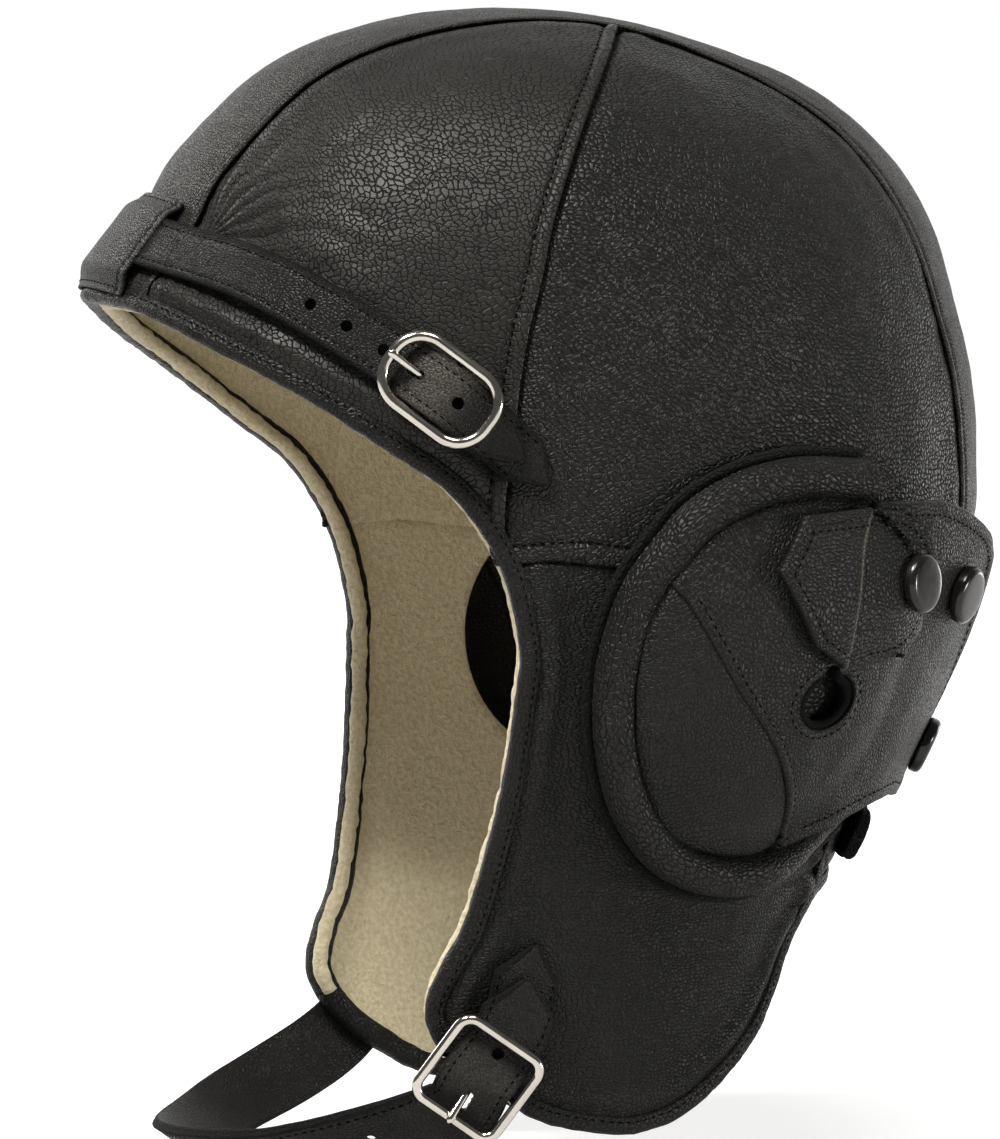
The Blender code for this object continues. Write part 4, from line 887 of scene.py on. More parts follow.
def radiating_folds(points, centre, count, depth, reach, seed):
    """Creases pressed into the skin that run out from one place and fade with the distance."""
    normal = outward(centre)
    east = unit(np.cross(normal, np.array([0.0, 0.0, 1.0])))
    north = np.cross(normal, east)
    away = points - centre
    x, y = away @ east, away @ north
    distance = np.hypot(x, y)
    angle = np.arctan2(y, x) + 0.25 * wander(points, 22.0 * MM, seed, 2)
    wave = np.sin(angle * count + 1.5 * wander(points, 30.0 * MM, seed + 3, 1))
    sharp = 1.0 - 2.0 * np.abs(wave)**0.7
    return -depth * sharp * ease(distance / (6.0 * MM)) * np.exp(-(distance / reach)**2)


def dressed(points, lifts):
    """Points lifted off the head form."""
    return points + outward(points) * lifts[..., None]


WALL = 1.15 * MM


# %% Front, side and cheek pieces
front_top = band_edge(24.6, 98.0, -LAP)
back_top = band_edge(98.0, 192.0, -LAP)
nape_top = band_edge(192.0, 228.0, -LAP)
under_front, under_side = moved_in(side_seam, -LAP), moved_in(lower_seam, LAP)
brow_rim, cheek_rim, hem_rim = rim[brow_at:temple_at + 1], rim[temple_at:chin_at + 1], rim[chin_at:nape_at + 1]
tip_front, top_low = front_top[0], front_top[-1]

low = joined(brow_rim, tip_front, temple)
high = front_top
right = joined(side_seam[::-1], temple, top_low)
front_points = panel_points(low, high, np.array([tip_front, tip_front]), right, 1.1 * MM, (True, True, False, True))
gap_high, gap_right, gap_low = (from_curve(front_points, c) for c in (front_top, side_seam, edge[:temple_at + 40]))
brow_pull = crest(band_half_width(34.0) + 4.0 * MM, 34.0)
front_lift = (tucked(gap_high) + lip(gap_right) + hem_swell(gap_low)
              + skin_waves(front_points, 1) + radiating_folds(front_points, brow_pull, 12, 0.24 * MM, 42.0 * MM, 5))
front_piece = sheet_piece("front_panel_skin_l", dressed(front_points, front_lift), WALL, front_leather)

low = under_front
high = joined(back_top, under_front[0], back_top[-1])
right = joined(lower_seam, under_front[-1], back_top[-1])
side_points = panel_points(low, high, np.array([low[0], low[0]]), right, fine=(True, True, False, True))
gap_low, gap_high, gap_right = (from_curve(side_points, c) for c in (under_front, back_top, lower_seam))
side_lift = (tucked(gap_low) + tucked(gap_high) + lip(gap_right, 0.7 * MM)
             + skin_waves(side_points, 2, 0.35 * MM))
side_piece = sheet_piece("side_panel_skin_l", dressed(side_points, side_lift), WALL, side_leather)

low = joined(hem_rim, rim[chin_at], nape_top[-1])
high = joined(under_side, under_side[0], nape_top[0])
left = joined(cheek_rim[::-1], low[0], high[0])
right = joined(nape_top[::-1], low[-1], high[-1])
neck_points = panel_points(low, high, left, right)
gap_high, gap_right, gap_edge = (from_curve(neck_points, c) for c in (high, nape_top, edge[temple_at - 20:]))
nape_pull = spot(157.0, -0.53)
neck_lift = (tucked(gap_high) + tucked(gap_right) + hem_swell(gap_edge) * 0.75 + skin_waves(neck_points, 3, 0.35 * MM)
             + radiating_folds(neck_points, nape_pull, 11, 1.15 * MM, 26.0 * MM, 7))
neck_piece = sheet_piece("neck_panel_skin_l", dressed(neck_points, neck_lift), WALL, cheek_leather)
print("panel triangles", [len(p.data.polygons) * 2 for p in (front_piece, side_piece, neck_piece)])

# %% The crown band
def band_points(inset, pitch=1.35 * MM):
    """Rows across the band; its first and last rows follow the bound edge."""
    brow, hem = rim[:brow_at + 1], rim[nape_at:]
    brow_turn = np.degrees(np.arctan2(brow[:, 2], -brow[:, 1]))
    hem_turn = 180.0 + np.degrees(-hem[:, 2] / SECTIONS[0, 3])
    v = stepped(405.0 * MM, pitch)[:, None]
    share = 2.0 * stepped(60.0 * MM, pitch)[None, :] - 1.0
    turn = 25.0 + 202.0 * v + 0.0 * share
    for _ in range(6):
        x = share * (band_half_width(turn) + inset)
        start = np.interp(np.abs(x), brow[:, 0], brow_turn)
        end = np.interp(np.abs(x), hem[::-1, 0], hem_turn[::-1])
        turn = start + (end - start) * v
    return crest(share * (band_half_width(turn) + inset), turn)


band_grid = band_points(0.0)
flip_x = np.array([-1.0, 1.0, 1.0])
gap_side = np.minimum(from_curve(band_grid, band_side), from_curve(band_grid, band_side * flip_x))
NEAR = 60  # points of the edge on each side of the middle line
brow_edge = np.concatenate([edge[:NEAR][::-1] * flip_x, edge[:NEAR]])
nape_edge = np.concatenate([edge[-NEAR:], edge[-NEAR:][::-1] * flip_x])
gap_hem = np.minimum(from_curve(band_grid, brow_edge), from_curve(band_grid, nape_edge))
back_share = ease((band_grid[..., 1] - 10.0 * MM) / (40.0 * MM))
band_lift = (lip(gap_side, 0.8 * MM, 2.1 * MM) + hem_swell(gap_hem) * 0.5 + skin_waves(band_grid, 4, 0.30 * MM)
             + groove(gap_side, 5.2 * MM, 0.55 * MM, 0.6 * MM) * back_share)
band_flat = np.stack([band_grid[..., 0], np.broadcast_to(lengths(band_grid[:, band_grid.shape[1] // 2])[:, None],
                                                         band_grid.shape[:2])], axis=-1)
band_piece = sheet_piece("crown_band_skin", dressed(band_grid, band_lift), WALL, band_leather, flat=band_flat)
print("band triangles", len(band_piece.data.polygons) * 2)

# %% Fleece lining
def lined(name, points, seed):
    """The fleece under one piece of leather: a soft lumpy sheet."""
    lumps = 0.35 * MM * wander(points, 2.6 * MM, seed, 3) + 0.3 * MM * wander(points, 11.0 * MM, seed + 2, 2)
    return sheet_piece(name, points + outward(points) * (lumps - 2.45 * MM)[..., None], 1.35 * MM, fleece)


COARSE, PLAIN = 2.6 * MM, (False, False, False, False)
brow_end = rim[brow_at]
lining_band = lined("fleece_crown", band_points(1.0 * MM, COARSE), 21)
(lining_front, lining_side, lining_neck) = (
    lined("fleece_" + name, panel_points(*sides, COARSE, PLAIN), seed) for name, seed, *sides in (
        ("front_l", 22, joined(brow_rim, brow_end, temple), joined(band_edge(26.0, 98.0), brow_end, seam_top),
         np.array([brow_end] * 2), joined(side_seam[::-1], temple, seam_top)),
        ("side_l", 23, side_seam, band_edge(98.0, 192.0), np.array([seam_top] * 2),
         joined(lower_seam, temple, seam_back)),
        ("neck_l", 24, hem_rim, lower_seam, cheek_rim[::-1],
         joined(band_edge(192.0, 228.0)[::-1], hem_rim[-1], seam_back))))


# %% Cutters, and the openings behind the ears
def cutter(at, add_form, **sizes):
    """A solid for cutting, placed by a matrix."""
    mesh = bpy.data.meshes.new("cutter")
    with edited(mesh) as shape:
        add_form(shape, **sizes)
        bmesh.ops.transform(shape, matrix=at, verts=shape.verts)
    return add_object("cutter", mesh)


def hole_cutter(at, radius, squash=1.0, length=60.0 * MM, sides=72):
    """A round or oval drill."""
    return cutter(at, bmesh.ops.create_cone, cap_ends=True, segments=sides, radius1=radius, radius2=radius,
                  depth=length, matrix=Matrix.Diagonal((1.0, squash, 1.0, 1.0)))


def frame_at(point, along, normal):
    """Matrix with X along, Z outwards and its origin at the point."""
    z = Vector(normal).normalized()
    y = z.cross(Vector(along)).normalized()
    matrix = Matrix((y.cross(z), y, z)).transposed().to_4x4()
    matrix.translation = Vector(point)
    return matrix


opening_place = spot(110.5, -0.285)
opening = hole_cutter(frame_at(opening_place, (0.0, 1.0, 0.0), outward(opening_place)), 25.0 * MM, 56.0 / 50.0)
for piece in (side_piece, neck_piece, lining_side, lining_neck):
    cut_away(piece, opening)
remove(opening)
sew(moved_in(side_seam, -3.7 * MM)[4:-4], front_piece, "helmet_l", sink=0.02 * MM)
sew(moved_in(lower_seam, 3.7 * MM), side_piece, "helmet_l", sink=0.02 * MM)
print("lined and opened behind the ear")

# %% [markdown]
# ## Bound edges
# The raw edges of leather and fleece are wrapped in a narrow strip, sewn through. A
# cross-section like a hook is carried along the edge, and small puckers between the
# stitches keep it from looking like a pipe. The fleece bulges out inside it.

# %% Bindings and the fleece roll
BIND = np.array([(4.3, -0.1), (4.25, 0.45), (3.9, 0.78), (3.2, 0.72), (2.6, 0.95), (1.7, 1.05), (0.8, 0.75),
                 (0.15, 0.1), (-0.15, -0.8), (-0.2, -1.9), (-0.1, -3.0), (0.35, -3.8), (1.3, -4.4), (2.6, -4.5),
                 (3.8, -4.35), (4.4, -3.9)]) * MM


def edge_sweep(name, curve, section, material, seed, pucker, shift=None):
    """A section of (inwards, outwards) points carried along an edge."""
    curve = resample(curve, round(lengths(curve)[-1] / (1.1 * MM)))
    up, run = outward(curve), tangents(curve)
    inward = unit(np.cross(up, run))
    rings = curve[:, None] + inward[:, None] * section[None, :, :1] + up[:, None] * section[None, :, 1:]
    middle = rings.mean(axis=1, keepdims=True)
    bumps = pucker * (wander(rings, 2.4 * MM, seed, 2) + 0.8 * wander(curve, 3.4 * MM, seed + 4, 1)[:, None])
    rings = rings + unit(rings - middle) * bumps[..., None]
    if shift is not None:
        rings = rings - (inward * shift(curve)[:, None])[:, None]
    return sweep_piece(name, rings, material)


def both_sides(curve):
    """A curve on the left and its mirror image, as one line over the middle."""
    return np.concatenate([curve[::-1] * flip_x, curve[1:]])


face_line = both_sides(edge[:chin_at + 1])
hem_line = both_sides(edge[chin_at:][::-1])
face_edge = edge_sweep("face_binding_skin", face_line, BIND, edge_leather, 31, 0.16 * MM)
hem_edge = edge_sweep("hem_binding_skin", hem_line[::-1], BIND, edge_leather, 32, 0.16 * MM)
around = circle(14)
ROLL = np.stack([1.9 * MM + 1.7 * MM * np.cos(around), -5.0 * MM + 1.7 * MM * np.sin(around)], axis=1)


def fleece_reach(curve):
    """How far the fleece shows: more at the temple, the jaw and the brow."""
    level = curve[:, 2] / SKIRT
    return (0.2 + 0.9 * hump(level + 0.13, 0.22) + 0.9 * hump(level + 0.72, 0.22)
            + 0.3 * ease((level - 0.1) / 0.2) + 0.3 * wander(curve, 30.0 * MM, 77, 1)) * MM


face_fleece = edge_sweep("fleece_edge", face_line, ROLL, fleece, 33, 0.35 * MM, fleece_reach)
for line, piece in ((face_line, face_edge), (hem_line[::-1], hem_edge)):
    sew(moved_in(line, 3.15 * MM), piece, "helmet")
print("bindings", [len(p.data.polygons) for p in (face_edge, hem_edge, face_fleece)])

# %% [markdown]
# ## The ear cups
# A padded leather roll is sewn round the ear, with its raw flange showing outside the
# stitches, its dark colour partly painted shade. The moulded cover rises out of it in two
# pieces with a curved seam, and runs on behind as a loose flap with a piped margin. The flap
# turns outward from its bend, and the cover and flap are made as one skin.

# %% Forms of the cup
RING = ((122.5, 0.028), (114.5, 0.037), (110.0, 0.033), (104.4, 0.011), (98.6, -0.030), (94.5, -0.087),
        (91.7, -0.134), (89.6, -0.198), (88.4, -0.279), (88.8, -0.376), (91.6, -0.471), (98.0, -0.544),
        (107.9, -0.582), (119.6, -0.584), (130.7, -0.555), (138.0, -0.530), (143.0, -0.512))
BED = ((122.5, -0.016), (115.5, -0.010), (111.3, -0.012), (106.3, -0.024), (102.2, -0.049), (98.9, -0.094),
       (95.9, -0.140), (93.9, -0.194), (92.7, -0.269), (93.0, -0.345), (95.0, -0.430), (100.0, -0.505),
       (109.0, -0.538), (121.0, -0.537))
SEAM = ((95.9, -0.140), (103.4, -0.278), (111.3, -0.375), (116.8, -0.456), (121.0, -0.537))
TOP = ((122.5, -0.016), (134.6, -0.018))
BOTTOM = ((121.0, -0.537), (131.0, -0.500), (141.0, -0.472), (150.5, -0.462))
BEND = ((134.6, -0.018), (137.4, -0.111), (142.0, -0.254), (150.5, -0.462))
FLAP_TOP = ((134.6, -0.018), (141.5, -0.037), (149.0, -0.066), (153.5, -0.098))
FLAP_REAR = ((153.5, -0.098), (156.0, -0.170), (161.0, -0.260), (168.5, -0.350), (171.0, -0.410), (167.0, -0.458))
FLAP_BOTTOM = ((150.5, -0.462), (158.0, -0.470), (167.0, -0.458))
CREASE = ((121.4, -0.026), (119.0, -0.075), (118.3, -0.150), (117.8, -0.247))
PATCH_ARC = ((121.4, -0.026), (126.9, -0.030), (131.5, -0.070), (133.6, -0.125), (132.6, -0.190),
             (127.5, -0.232), (117.8, -0.247))
TAB_EDGE = ((121.4, -0.026), (110.6, -0.034), (106.8, -0.110), (112.4, -0.214), (117.8, -0.247))
LEAD_HOLE = (117.4, -0.300)


def cover_lift(place):
    """Height of the cover's outer face above the shell."""
    bearing, share = place[..., 0], place[..., 1]
    reach = ((bearing - 109.0) / 25.0)**2 + ((share + 0.275) / 0.285)**2
    rear = ease((bearing - 118.0) / 14.0)
    tuck = ease((bearing - 138.0) / 24.0) * ease((-0.15 - share) / 0.20)
    return (5.2 + 2.4 * rear + 8.0 * np.maximum(0.0, 1.0 - reach) - 0.8 * tuck) * MM


def on_cover(place, above=0.0):
    """Places on the outer face of the ear cup's cover."""
    return spot(place[..., 0], place[..., 1], cover_lift(place) + above)


def flat_curve(shares):
    return smooth_curve(np.array(shares))


def relaxed(grid, rounds):
    """A grid with its inner points drawn towards their neighbours."""
    grid = grid.copy()
    for _ in range(rounds):
        inner = (grid[:-2, 1:-1] + grid[2:, 1:-1] + grid[1:-1, :-2] + grid[1:-1, 2:]) / 4
        grid[1:-1, 1:-1] = grid[1:-1, 1:-1] * 0.5 + inner * 0.5
    return grid


# %% The padded ring
def make_ring():
    """The padded roll, which narrows towards its rear end, and the flange outside it, a cut edge darkened partly as
    painted shade.
    """
    curve = resample(form_curve(RING), 210)
    up, run = outward(curve), tangents(curve)
    across = np.cross(run, up)
    left = ease((1.0 - np.linspace(0.0, 1.0, len(curve))) / 0.20)
    width = (3.6 + 5.8 * left) * MM / 2
    height = (2.4 + 5.4 * left) * MM
    angle = np.linspace(np.pi, 0.32, 17)
    out = np.sign(np.cos(angle)) * np.abs(np.cos(angle))**0.85
    rise = np.sin(angle)**0.60 * (1.0 - 0.10 * np.cos(angle))
    flange = np.array([(0.15, 1.3), (0.45, 1.9), (1.9, 2.0), (2.3, 1.5), (2.3, 0.3), (1.9, 0.0)]) * MM
    side = np.concatenate([width[:, None] * out[None], width[:, None] * 0.92 + flange[None, :, 0]], axis=1)
    lift = 0.4 * MM + np.concatenate([height[:, None] * rise[None], np.tile(flange[:, 1], (len(curve), 1))], axis=1)
    rings = curve[:, None] + across[:, None] * side[..., None] + up[:, None] * lift[..., None]
    bumps = 0.20 * MM * wander(rings, 3.2 * MM, 41, 2) + 0.25 * MM * wander(rings, 12.0 * MM, 42, 1)
    rings = rings + up[:, None] * bumps[..., None]
    # The flange is marked dark: partly as cut leather, partly as painted shade beside the ring.
    raw = np.zeros(rings.shape[:2])
    raw[:, -5:] = 1.0
    piece = sweep_piece("ear_ring_pad_l", rings, ring_leather, marks={"raw": raw})
    return piece, curve, across


ring_piece, ring_line, ring_out = make_ring()
sew(seat(ring_line + ring_out * 4.5 * MM)[2:-34], ring_piece, "helmet_l", sink=0.02 * MM)
print("ring", len(ring_piece.data.polygons))

# %% Cover, front piece and flap
split = 6 * STEPS
bed, seam, bend = flat_curve(BED), flat_curve(SEAM), flat_curve(BEND)
cup_middle = np.array((109.0, -0.275))
under_ring = 1.0 + 0.055 * ease((122.0 - bed[:, :1]) / 8.0) + 0.075 * ease((106.0 - bed[:, :1]) / 9.0)
bed = cup_middle + (bed - cup_middle) * under_ring
seam[0], seam[-1] = bed[split], bed[-1]
front_flat = patch(bed[split:], seam, np.array([seam[0]] * 2), np.array([seam[-1]] * 2), 84, 34)
front_grid = relaxed(on_cover(front_flat), 12)
bed_line, seam_line = on_cover(bed), on_cover(seam)
gap_bed, gap_seam = from_curve(front_grid, bed_line), from_curve(front_grid, seam_line)


def bed_roll(distance):
    """The cover's edge dives beside the ring."""
    return -0.9 * MM * ease((2.0 * MM - distance) / (2.0 * MM))**2


front_cover_lift = (bed_roll(gap_bed) - 0.35 * MM * ease((1.5 * MM - gap_seam) / (1.5 * MM))
                    + skin_waves(front_grid, 11, 0.20 * MM))
front_grid = front_grid + grid_normals(front_grid) * front_cover_lift[..., None]
ear_front = sheet_piece("ear_front_skin_l", front_grid, 1.6 * MM, cup_leather)

top = np.concatenate([bed[:split + 1][::-1], flat_curve(TOP)[1:]])
cover_flat = patch(seam, bend, top, flat_curve(BOTTOM), 92, 70)
flap_flat = patch(bend, flat_curve(FLAP_REAR), flat_curve(FLAP_TOP), flat_curve(FLAP_BOTTOM), 92, 26)
skin_flat = np.concatenate([cover_flat, flap_flat[1:]])
skin_grid = relaxed(on_cover(skin_flat), 14)
flap_rim = on_cover(np.concatenate([
    flat_curve(TOP)[2:], flat_curve(FLAP_TOP)[1:], flat_curve(FLAP_REAR)[1:], flat_curve(FLAP_BOTTOM)[::-1][1:],
    flat_curve(BOTTOM)[::-1][1:-6]]))
gap_bed, gap_seam = from_curve(skin_grid, on_cover(bed[:split + 1])), from_curve(skin_grid, seam_line)
gap_rim = from_curve(skin_grid, flap_rim)
lead_place = on_cover(np.array(LEAD_HOLE))
skin_lift = (bed_roll(gap_bed) + 0.42 * MM * ease((2.4 * MM - gap_seam) / (1.2 * MM))
             + groove(gap_seam, 1.7 * MM, 0.3 * MM, 0.4 * MM)
             + 0.45 * MM * ease((3.6 * MM - gap_rim) / (1.2 * MM)) + groove(gap_rim, 2.6 * MM, 0.3 * MM, 0.4 * MM)
             + skin_waves(skin_grid, 12, 0.32 * MM)
             + 0.35 * MM * hump(np.linalg.norm(skin_grid - lead_place, axis=-1) - 8.6 * MM, 1.3 * MM))
skin_grid = skin_grid + grid_normals(skin_grid) * skin_lift[..., None]
ear_cover = sheet_piece("ear_cover_skin_l", skin_grid, 1.8 * MM, cup_leather)
print("cover", len(ear_cover.data.polygons), "front", len(ear_front.data.polygons))

# %% The lead hole, and the inner skin that shows through it
hinges = {joint["name"]: joint for joint in frame["joints"]}


def cover_frame(shares, above=0.0):
    """Matrix on the cover with Z along its own normal."""
    at, turn, climb = np.array(shares), np.array([2.0, 0.0]), np.array([0.0, 0.02])
    normal = unit(np.cross(on_cover(at + turn) - on_cover(at - turn), on_cover(at + climb) - on_cover(at - climb)))
    return frame_at(on_cover(at) + normal * above, (0.0, 1.0, 0.0), normal)


def raw_inside(piece, matrix, radius, depth):
    """Mark the cut wall of a hole as cut leather, in the raw attribute."""
    back = matrix.inverted()
    attribute = piece.data.attributes.get("raw") or piece.data.attributes.new("raw", "FLOAT", "POINT")
    for vertex, value in zip(piece.data.vertices, attribute.data):
        at = back @ vertex.co
        if math.hypot(at.x, at.y) < radius and abs(at.z) < depth:
            value.value = 1.0


lead_frame = cover_frame(LEAD_HOLE) @ Matrix.Diagonal((1.32, 1.0, 1.0, 1.0))
notch_frame = cover_frame((117.2, -0.262))
cutters = (hole_cutter(lead_frame, 6.3 * MM, length=8.0 * MM),
           hole_cutter(notch_frame, 2.6 * MM, length=8.0 * MM, sides=40))
cut_away(ear_cover, *cutters)
raw_inside(ear_cover, lead_frame, 6.55 * MM, 3.0 * MM)
remove(*cutters)


# %% The felt wall of the lead hole
def felt_rim():
    """The thick cut wall of padding inside the hole, open towards the notch."""
    notch = lead_frame.inverted() @ notch_frame.translation
    open_at = math.atan2(notch.y, notch.x)
    turn = open_at + np.radians(np.linspace(30.0, 330.0, 50))
    along = np.array([math.cos(open_at), math.sin(open_at)])
    reach = math.hypot(notch.x, notch.y) + 1.6 * MM
    ends = [[along * reach + np.array([-along[1], along[0]]) * side * 1.9 * MM] for side in (1.0, -1.0)]
    line = np.concatenate([ends[0], 5.5 * MM * np.stack([np.cos(turn), np.sin(turn)], axis=-1), ends[1]])
    line = smooth_curve(np.concatenate([line, np.zeros((len(line), 1))], axis=1), 2)
    up = np.array((0.0, 0.0, 1.0))
    beside = np.cross(tangents(line), up)
    section = np.array([(-0.75, -2.6), (-0.85, -0.9), (-0.5, -0.45), (0.0, -0.3), (0.5, -0.4), (0.85, -0.8),
                        (0.85, -2.6)]) * MM
    rings = placed(lead_frame, line[:, None] + beside[:, None] * section[None, :, :1] + up * section[None, :, 1:])
    rings = rings + 0.12 * MM * wander(rings, 1.1 * MM, 77, 2)[..., None] * unit(outward(rings))
    return sweep_piece("lead_hole_felt_l", rings, felt)


hole_felt = felt_rim()
corners = [np.array([(x, -0.36), (x, -0.22)]) for x in (110.5, 124.0)]
low, high = np.array([corners[0][0], corners[1][0]]), np.array([corners[0][1], corners[1][1]])
inner_skin = sheet_piece("ear_inner_skin_l", on_cover(patch(low, high, *corners, 16, 16), -4.4 * MM), 0.9 * MM,
                         ring_leather)


# %% The seams of the cup
def sideways(line):
    """Directions across a line, along the skin."""
    return np.cross(outward(line), tangents(line))


def inset(line, distance, towards):
    """A line on the cover moved sideways towards a point."""
    side = unit(sideways(line))
    return line + side * np.sign(np.sum(side * (towards - line))) * distance


around = np.linspace(0.0, 2.0 * np.pi, 60)
seam_inner = on_cover(seam[3:-3])
sew(seam_inner + unit(sideways(seam_inner)) * 1.7 * MM, ear_cover, "cover_l")
sew(placed(lead_frame, [(8.0 * MM * math.cos(a), 8.0 * MM * math.sin(a), 0.0) for a in around]), ear_cover, "cover_l")
sew(inset(flap_rim, 2.6 * MM, skin_grid.mean(axis=(0, 1)))[2:-2], ear_cover, "cover_l")
print("lines", {body: len(runs) for body, runs in stitch_lines.items()})

# %% [markdown]
# ## The cable flap
# A leather patch on the cover holds a cable: its rear half is sewn down with an arc of
# stitches under a snap, and its thick pointed front half folds open. The leather is
# one piece, rubbed pale where it bends.

# %% Patch and tab in one skin
crease, arc = flat_curve(CREASE), flat_curve(PATCH_ARC)
tab_line = np.array(TAB_EDGE)
tab_flat = patch(tab_line[1:4], crease, np.array([tab_line[1], crease[0]]), np.array([tab_line[3], crease[-1]]), 90, 26)
patch_flat = patch(crease, arc[STEPS:5 * STEPS + 1], arc[:STEPS + 1], arc[5 * STEPS:][::-1], 90, 30)
cable_flat = np.concatenate([tab_flat, patch_flat[1:]])
cable_grid = on_cover(cable_flat)
crease_line, tab_rim, arc_rim = on_cover(crease), on_cover(tab_line), on_cover(arc)
gap_crease = from_curve(cable_grid, crease_line)
on_tab = np.arange(cable_flat.shape[0])[:, None] < 26.5
height = np.where(on_tab, 3.4, 2.8) * MM - 0.55 * MM * hump(gap_crease, 0.8 * MM)
height = height + skin_waves(cable_grid, 15, 0.12 * MM)
for line, part in ((tab_rim, on_tab), (arc_rim, ~on_tab)):
    height = height + groove(from_curve(cable_grid, line), 2.4 * MM, 0.25 * MM, 0.35 * MM) * part


def above_cover(grid, gap, high=12.0 * MM):
    """How far each point of a grid must rise to clear the cover by a gap, a little smoothed."""
    tree, up = skin_tree(ear_cover), grid_normals(grid)
    lift = high + gap - np.array([[tree.ray_cast(Vector(p + high * n), Vector(-n))[3] or high for p, n in zip(*row)]
                                  for row in zip(grid, up)])
    for _ in range(3):
        lift[1:-1] = (lift[:-2] + 2.0 * lift[1:-1] + lift[2:]) / 4.0
        lift[:, 1:-1] = (lift[:, :-2] + 2.0 * lift[:, 1:-1] + lift[:, 2:]) / 4.0
    return lift


height = np.maximum(height, np.where(on_tab, 0.0, above_cover(cable_grid, 1.35 * MM)))
cable_wall = np.where(on_tab, 2.3, 1.5) * MM - 0.4 * MM * hump(gap_crease, 0.9 * MM)
cable_grid = cable_grid + grid_normals(cable_grid) * height[..., None]
cable_flap = sheet_piece("cable_flap_skin_l", cable_grid, cable_wall, cup_leather, 0.15, 1.0,
                         1.3 * hump(gap_crease, 0.45 * MM))
tab_rim = on_cover(resample(tab_line, 120))
sew(inset(tab_rim, 2.4 * MM, on_cover(np.array((114.0, -0.12))))[3:-3], cable_flap, "cable_l")
sew(inset(arc_rim[8:-8], 2.4 * MM, on_cover(np.array((125.0, -0.12)))), cable_flap, "cable_l")
print("cable flap", len(cable_flap.data.polygons))

# %% [markdown]
# ## Snap fasteners
# A snap cap is a low pressed dome with a rolled lip, held by a rivet post. Here it is
# turned from its profile, with a smooth curve through the profile so that the enamel
# reflects without facets. The sockets and studs hide underneath and keep their frame
# shapes.

# %% Snap caps
def turned(name, profile, matrix, material, sides=64):
    """A solid of revolution from (radius, height) pairs, from the top of the axis to its foot."""
    angle, n = circle(sides), len(profile)
    rings = np.stack([profile[None, :, 0] * np.cos(angle)[:, None], profile[None, :, 0] * np.sin(angle)[:, None],
                      np.broadcast_to(profile[None, :, 1], (sides, n))], axis=-1)
    faces = [(j * n + i, j * n + i + 1, (j + 1) % sides * n + i + 1, (j + 1) % sides * n + i)
             for j in range(sides) for i in range(n - 1)]
    return new_piece(name, placed(matrix, rings.reshape(-1, 3)), faces, material)


DOME = smooth_curve(np.array([(0.0, 3.0), (2.8, 2.97), (4.8, 2.86), (5.6, 2.68), (6.15, 2.25), (6.38, 1.7),
                              (6.4, 0.7), (6.25, 0.2), (5.7, 0.0)]) * MM, 5)


def snap_cap(name, shares, stack, skin, high=12.0 * MM):
    """A cap a hair above the highest skin below its rim."""
    profile = np.concatenate([DOME, np.array([(1.5, 0.0), (1.5, -stack), (0.0, -stack)]) * MM])
    matrix, tree = cover_frame(shares, high), skin_tree(skin)
    starts = [matrix @ Vector((4.0 * MM * x, 4.0 * MM * y, 0.0)) for x, y in ((0, 0), (1, 0), (-1, 0), (0, 1), (0, -1))]
    hits = [tree.ray_cast(start, -matrix.col[2].to_3d()) for start in starts]
    drop = min(hit[3] for hit in hits if hit[3] is not None)
    print(name, "stands", round((high - drop) / MM, 2), "mm above the cover's form")
    return turned(name, profile, cover_frame(shares, high + 0.05 * MM - drop), snap_black)


caps = [snap_cap("snap_dome_front_l", (129.1, -0.131), 4.8, cable_flap),
        snap_cap("snap_dome_upper_l", (144.8, -0.152), 2.4, ear_cover),
        snap_cap("snap_dome_lower_l", (163.0, -0.395), 2.4, ear_cover)]
for name in frame["nodes"]:
    if name.startswith(("snap_socket", "snap_stud")):
        for slot in bpy.data.objects[name].material_slots:
            slot.material = snap_steel
print("caps", [len(cap.data.polygons) for cap in caps])

# %% [markdown]
# ## Straps
# A strap is two strips of leather sewn back to back: rounded top edges, a fine groove
# between the layers, and a line of stitches near each side. Its cross-section is carried
# along the same path as the frame's strap, up over the buckle's bar and down again.

# %% Strap sections carried along a path
def strap_ring(width, thick):
    """A strap's cross-section, as (across, up) points, and the cut-edge mark of each point."""
    half = width / 2
    across = np.linspace(-half + 0.45 * MM, half - 0.45 * MM, 25)
    up = thick - 0.28 * MM * hump(np.abs(across) - (half - 1.9 * MM), 0.38 * MM) + 0.12 * MM * (1 - (across / half)**2)
    side = np.array([(half - 0.12 * MM, thick - 0.22 * MM), (half, thick * 0.72), (half - 0.22 * MM, thick * 0.5),
                     (half + 0.02 * MM, thick * 0.3), (half - 0.1 * MM, 0.12 * MM), (half - 0.5 * MM, 0.0)])
    under = np.stack([np.linspace(half - 2.0 * MM, -half + 2.0 * MM, 5), np.zeros(5)], axis=1)
    worn = 0.9 * ease((np.abs(across) - (half - 1.3 * MM)) / (0.5 * MM))
    return (np.concatenate([np.stack([across, up], axis=1), side, under, side[::-1] * np.array([-1.0, 1.0])]),
            np.concatenate([worn, np.ones(5), np.zeros(7), np.ones(5)]))


class Track:
    """A path with its normals, read by distance."""

    def __init__(self, points, normals):
        self.points, self.normals, self.runs = points, normals, tangents(points)
        self.walked = lengths(points)
        self.length = self.walked[-1]

    def pick(self, distance, values):
        return np.stack([np.interp(distance, self.walked, values[:, k]) for k in range(3)], axis=-1)

    def at(self, distance):
        run, normal = unit(self.pick(distance, self.runs)), self.pick(distance, self.normals)
        return (self.pick(distance, self.points), run,
                unit(normal - run * np.sum(normal * run, axis=-1, keepdims=True)))

    def frame(self, distance):
        return frame_at(*(values[0] for values in self.at(np.array([distance]))))


